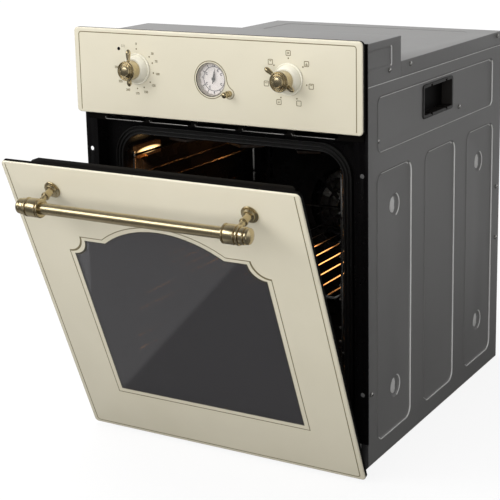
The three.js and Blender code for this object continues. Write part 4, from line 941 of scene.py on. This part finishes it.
def arched(name, side, foot, flat, round_radius, arch, near, far):
    """A plate with the window's outline: square feet, hollow shoulders and an arched top."""
    shape = block(name, (-side, near, foot), (side, far, flat))
    cap = rod("cap", (0, near, arch_z), BACKWARD, 0, far - near, arch, 192)
    reach = math.sqrt(arch ** 2 - (flat - arch_z) ** 2)
    keep = block("keep", (-reach, near - 0.001, flat - past), (reach, far + 0.001, flat + 0.1))
    combine(shape, combine(cap, keep, "INTERSECT"), "UNION")
    for end in (-side, side):
        cut(shape, rod("shoulder", (end, near - 0.001, flat), BACKWARD, 0, far - near + 0.002,
                       round_radius, 64))
    return shape


door = plate("door_glass", (-half_wide, front, door_bottom),
             (half_wide, front + door_thick, door_top), front_corner)
cut(roll(door, lying(Y, front), front_roll, 5),
    arched("window_hole", window_half, window_bottom, window_flat, shoulder, arch_radius,
           front - 0.002, front + door_thick + 0.002))
finished(swing(back_black(door)), "door", [cream, moulded], ["door_panel"], 30)

dress(mottled("clear_glass", 3.0, (244, 247, 245), (248, 250, 249), Roughness=0.0, IOR=1.45,
              Transmission_Weight=1.0), "door_middle_glass", "door_inner_glass")
smoked = mottled("smoked_glass", 4.0, (92, 90, 93), (97, 95, 98), Roughness=0.0, IOR=1.5,
                 Transmission_Weight=0.72, Coat_Weight=1.0, Coat_IOR=1.45)
gap = 0.0003
pane = arched("door_window_pane", window_half - gap, window_bottom + gap, window_flat - gap,
              shoulder + gap, arch_radius - gap, front, front + door_thick)
finished(swing(pane), "door", smoked, ["door_window"], 30)


def printed_arch(name, grow, lift, shoulder_size, arch_grow, width):
    """A printed line that follows the window outside its edge."""
    sizes = (window_half + grow, window_bottom - grow, window_flat + lift, shoulder_size,
             arch_radius + arch_grow)
    line = arched(name, *sizes, front - print_film, front + print_film)
    inner = [size + way * width for size, way in zip(sizes, (-1, 1, -1, 1, -1))]
    return cut(line, arched("inner", *inner, front - 0.001, front + 0.001))


border_inset, border_foot, border_head = 0.0065, 0.005, 0.003
door_border = outline("door_border", -half_wide + border_inset, half_wide - border_inset,
                      door_bottom + border_foot, door_top + 0.02, border_corner)
cut(door_border, block("above", (-past_sides, front - past, door_top - border_head),
                       (past_sides, front + past, 0.6)))
window_line = printed_arch("window_line", 0.0075, 0.0059, 0.0245, 0.007, print_line)
finished(swing(joined("door_print", [door_border, window_line])), "door", brown)
# A dark line right at the window's edge stands in for the shade along the rim: a painted shadow.
rim_shadow_paint = mottled("dark_rim_print", 300.0, (58, 55, 46), (70, 66, 54), (90.0, 0.3, 0.4),
                       IOR=1.45)
finished(swing(printed_arch("window_rim", 0.0, 0.0, shoulder, 0.0, print_line)), "door",
         rim_shadow_paint)

# The forward-facing walls of the top rail's air slots get a near-black finish: painted shade
# inside the slots.
slot_black = mottled("slot_black", 60.0, (9, 8, 7), (14, 12, 11), (90.0, 0.7, 0.8), IOR=1.4)
refinish(finer("door_top_rail", moulded, 0.0007), slot_black,
         lambda face: face.normal.y < -0.6)
for node in ("door_side_rail_left", "door_side_rail_right", "door_bottom_rail"):
    finer(node, moulded, 0.0006)


# Handle: a brushed brass bar let into two turned end pieces, each on a post that screws
# through the glass and stands on a round rosette.
bar_z, bar_y, bar_radius = 0.4365, front - 0.042, 0.0075
bar_half, post_x = 0.15125, 0.15
bar = rod("handle_bar_brass", (-bar_half, bar_y, bar_z), (1, 0, 0), 0, 2 * bar_half,
          bar_radius, 64)
finished(swing(bar), "door", brass, ["handle_bar"])
end_stations = [(0.1372, 0.0078), (0.1374, 0.0119), (0.1379, 0.0125), (0.1392, 0.0125),
                (0.1397, 0.0119), (0.1398, 0.0106), (0.1411, 0.0106), (0.1412, 0.0119),
                (0.1417, 0.0124), (0.1552, 0.0124), (0.1557, 0.0119), (0.1558, 0.0104),
                (0.1573, 0.0104), (0.1574, 0.0118), (0.1581, 0.0126), (0.1598, 0.0126),
                (0.1605, 0.0118), (0.1606, 0.0098), (0.1614, 0.0098), (0.1615, 0.0106),
                (0.162, 0.011), (0.167, 0.011), (0.1675, 0.0106), (0.1676, 0.009),
                (0.1685, 0.009), (0.1686, 0.0097), (0.1691, 0.0101), (0.1722, 0.0101),
                (0.173, 0.0097), (0.1735, 0.0089), (0.1752, 0.0)]
post_stations = [(0.0003, 0.0117), (0.0006, 0.0121), (0.0016, 0.0121), (0.0023, 0.0114),
                 (0.0027, 0.0096), (0.0028, 0.0086), (0.0038, 0.0083), (0.0052, 0.0078),
                 (0.0058, 0.0063), (0.0059, 0.0052), (0.0066, 0.005), (0.0146, 0.0046),
                 (0.015, 0.0055), (0.0156, 0.0058), (0.0172, 0.0058), (0.0178, 0.0055),
                 (0.0182, 0.0042), (0.019, 0.0036), (front - bar_y - bar_radius - gap, 0.0037)]
for name, sign in (("left", -1), ("right", 1)):
    end = cut(turned("handle_end_" + name, (0, bar_y, bar_z), (sign, 0, 0), end_stations),
              rod("socket", (sign * 0.1, bar_y, bar_z), (sign, 0, 0), 0, bar_half - 0.1 + gap,
                  bar_radius + gap, 64),
              rod("post_hole", (sign * post_x, bar_y + bar_radius, bar_z), BACKWARD, 0, 0.02,
                  0.0041))
    post = turned("handle_stem_" + name, (sign * post_x, front, bar_z), FORWARD, post_stations,
                  48)
    for piece, node in ((end, "handle_ferrule_"), (post, "handle_post_")):
        finished(swing(roll_edges(piece, 0.0002, angle=30)), "door", turned_brass,
                 [node + name])


# Screws: small bright-plated pan heads with a cross slot, which hold the covers, the sides
# and the grips.
screw_radius, slot_floor, slot_top = 0.0034, 0.001485, 0.0066
screw_stations = [(-0.0006, screw_radius), (0.0012, screw_radius), (0.0021, 0.003128),
                  (0.0028, 0.002448), (0.0033, 0.00136), (0.0034, 0.0)]
slot_arms = [(0.00204, 0.000544), (0.000544, 0.00204)]


def screw(x, y, z, side):
    """A pan-head screw with a cross slot, on a surface that faces one side."""
    head = turned("screw", (x, y, z), (side, 0, 0), screw_stations, 24)
    low_x, high_x = sorted((x + side * slot_floor, x + side * slot_top))
    for high, wide in slot_arms:
        cut(head, block("slot", (low_x, y - wide, z - high), (high_x, y + wide, z + high)))
    return head


sheet_screws = [(0.117, 0.543), (0.185, 0.543), (0.524, 0.544), (0.529, 0.297),
                (0.53, 0.211), (0.06, 0.104)]
band_screws = [(0.085, 0.4515), (0.37, 0.454)]
heads = []
for sign in (-1, 1):
    for spots, level in ((sheet_screws, side_x), (band_screws, field_x)):
        for depth, height in spots:
            heads.append(screw(sign * level, front + depth, height, sign))
finished(joined("body_screws", heads), ROOT, chrome)


# Studio: a pale seamless floor that runs out into white, and soft panels overhead, in front
# and at the side. A strip draws the bright lines on the brass, and three small warm lights in
# the cavity stand for its lamp.
def rays(shade):
    """Whether a ray comes from the camera, off gloss, or through glass."""
    return [shade.node("LightPath", output=f"Is {kind} Ray")
            for kind in ("Camera", "Glossy", "Transmission")]


bpy.ops.mesh.primitive_plane_add(size=40, location=(0, 0, cad_low.z - 0.0006))
floor = added("studio_floor")
white, place, feed = new_finish("seamless_white", Roughness=0.9, Emission_Strength=1.0)
camera_ray, glossy_ray, through_ray = rays(place)
runout = place.length().spread(0.45, 1.1, 0.88, 1.0)
across, along_y = place.part("X"), place.part("Y")
board = (along_y * 0.433 + across).spread(-0.362, -0.352, 1.0, 0.38)
reflected = (along_y.spread(-0.9, -0.7, 0.1, 0.31) * board + along_y.spread(0.3, 1.2, 0.0, 0.6)
             + along_y.spread(-1.6, -1.1, 0.8, 0.0) * across.spread(0.0, 0.5))
seen = (camera_ray + through_ray) * runout + glossy_ray * reflected
lit = camera_ray.mix((140, 140, 140), (252, 252, 252))
feed(Base_Color=(seen + glossy_ray).mix(lit, (0, 0, 0)),
     Emission_Color=seen.mix((0, 0, 0), (255, 255, 255)))
floor.data.materials.append(white)

world = bpy.data.worlds.new("soft_room")
bpy.context.scene.world = world
world.use_nodes = True
tree = world.node_tree
tree.nodes.clear()
room = Shade(tree)
camera_ray, glossy_ray, through_ray = rays(room)
direction, fill = room.node("TexCoord", output="Generated"), 0.18
behind = direction.part("Y").spread(-0.35, 0.25, 0.3, 1.0)
reflected = behind * direction.part("Z").spread(0.05, 0.8, 1.0, 0.4)
shown = (camera_ray + through_ray) * (1 - fill) + glossy_ray * (reflected - fill) + fill
light = room.node("Background", {"Color": (1, 1, 1, 1), "Strength": shown})
target = tree.nodes.new("ShaderNodeOutputWorld")
tree.links.new(light.socket, target.inputs["Surface"])


def soft_box(name, place, aim, width, height, watts, shade=(1, 1, 1), glossy=False, spread=180):
    """A soft light panel that looks at a point, and shows at most in glossy reflections."""
    data = bpy.data.lights.new(name, "AREA")
    data.shape, data.size, data.size_y, data.energy = "RECTANGLE", width, height, watts
    data.color, data.spread = shade, math.radians(spread)
    lamp = bpy.data.objects.new(name, data)
    bpy.context.scene.collection.objects.link(lamp)
    lamp.location = place
    lamp.rotation_euler = (Vector(aim) - Vector(place)).to_track_quat("-Z", "Y").to_euler()
    lamp.visible_camera = lamp.visible_transmission = False
    lamp.visible_glossy = glossy


middle = (cad_low + cad_high) / 2
soft_box("overhead_box", (-0.7, 0.1, 2.8), middle, 2.4, 2.4, 60)
soft_box("front_panel", (0.3, -1.75, 0.75), (0, -0.3, 0.5), 1.5, 1.1, 13.5)
soft_box("key_panel", (-1.3, -2.1, 2.1), middle, 0.9, 0.9, 13)
soft_box("side_wash", (1.7, -2.2, 0.45), (0.2, 0, 0.2), 0.5, 0.8, 6.3)
soft_box("brass_strip", (-1.04, -1.75, 1.16), (0, -0.5, 0.41), 1.3, 0.7, 10, glossy=True)
amber, near_lamp = (1.0, 0.42, 0.13), Vector((lamp_high.x, lamp_middle.y, lamp_middle.z))
soft_box("oven_lamp", near_lamp + Vector((0.03, 0.03, -0.004)),
         near_lamp + Vector((0.1, -0.02, -0.09)), 0.1, 0.02, 0.3, (1.0, 0.5, 0.2))
soft_box("cavity_glow", (0.09, front + 0.38, 0.36), (0.13, front + 0.12, 0.23), 0.16, 0.1,
         0.07, amber, True, 80)
soft_box("wall_glow", (-0.09, front + 0.38, 0.41), (-0.172, front + 0.2, 0.34), 0.1, 0.04,
         0.03, amber, True, 80)

view_data = bpy.data.cameras.new("photo_camera")
camera = bpy.data.objects.new("photo_camera", view_data)
bpy.context.scene.collection.objects.link(camera)
bpy.context.scene.camera = camera
view_data.lens, view_data.sensor_width = 96.44, 36.0
view_data.shift_x, view_data.shift_y = -0.1, -0.16
view_data.clip_start, view_data.clip_end = 0.05, 60.0
bearing, dip, lean = math.radians(28.846), math.radians(90 - 12.457), math.radians(-0.758)
turn = Matrix.Rotation(bearing, 4, "Z") @ Matrix.Rotation(dip, 4, "X") @ Matrix.Rotation(
    lean, 4, "Z")
camera.matrix_world = Matrix.Translation((0.95548, front - 1.49134, 0.79935)) @ turn
bpy.context.scene.view_settings.view_transform = "Standard"
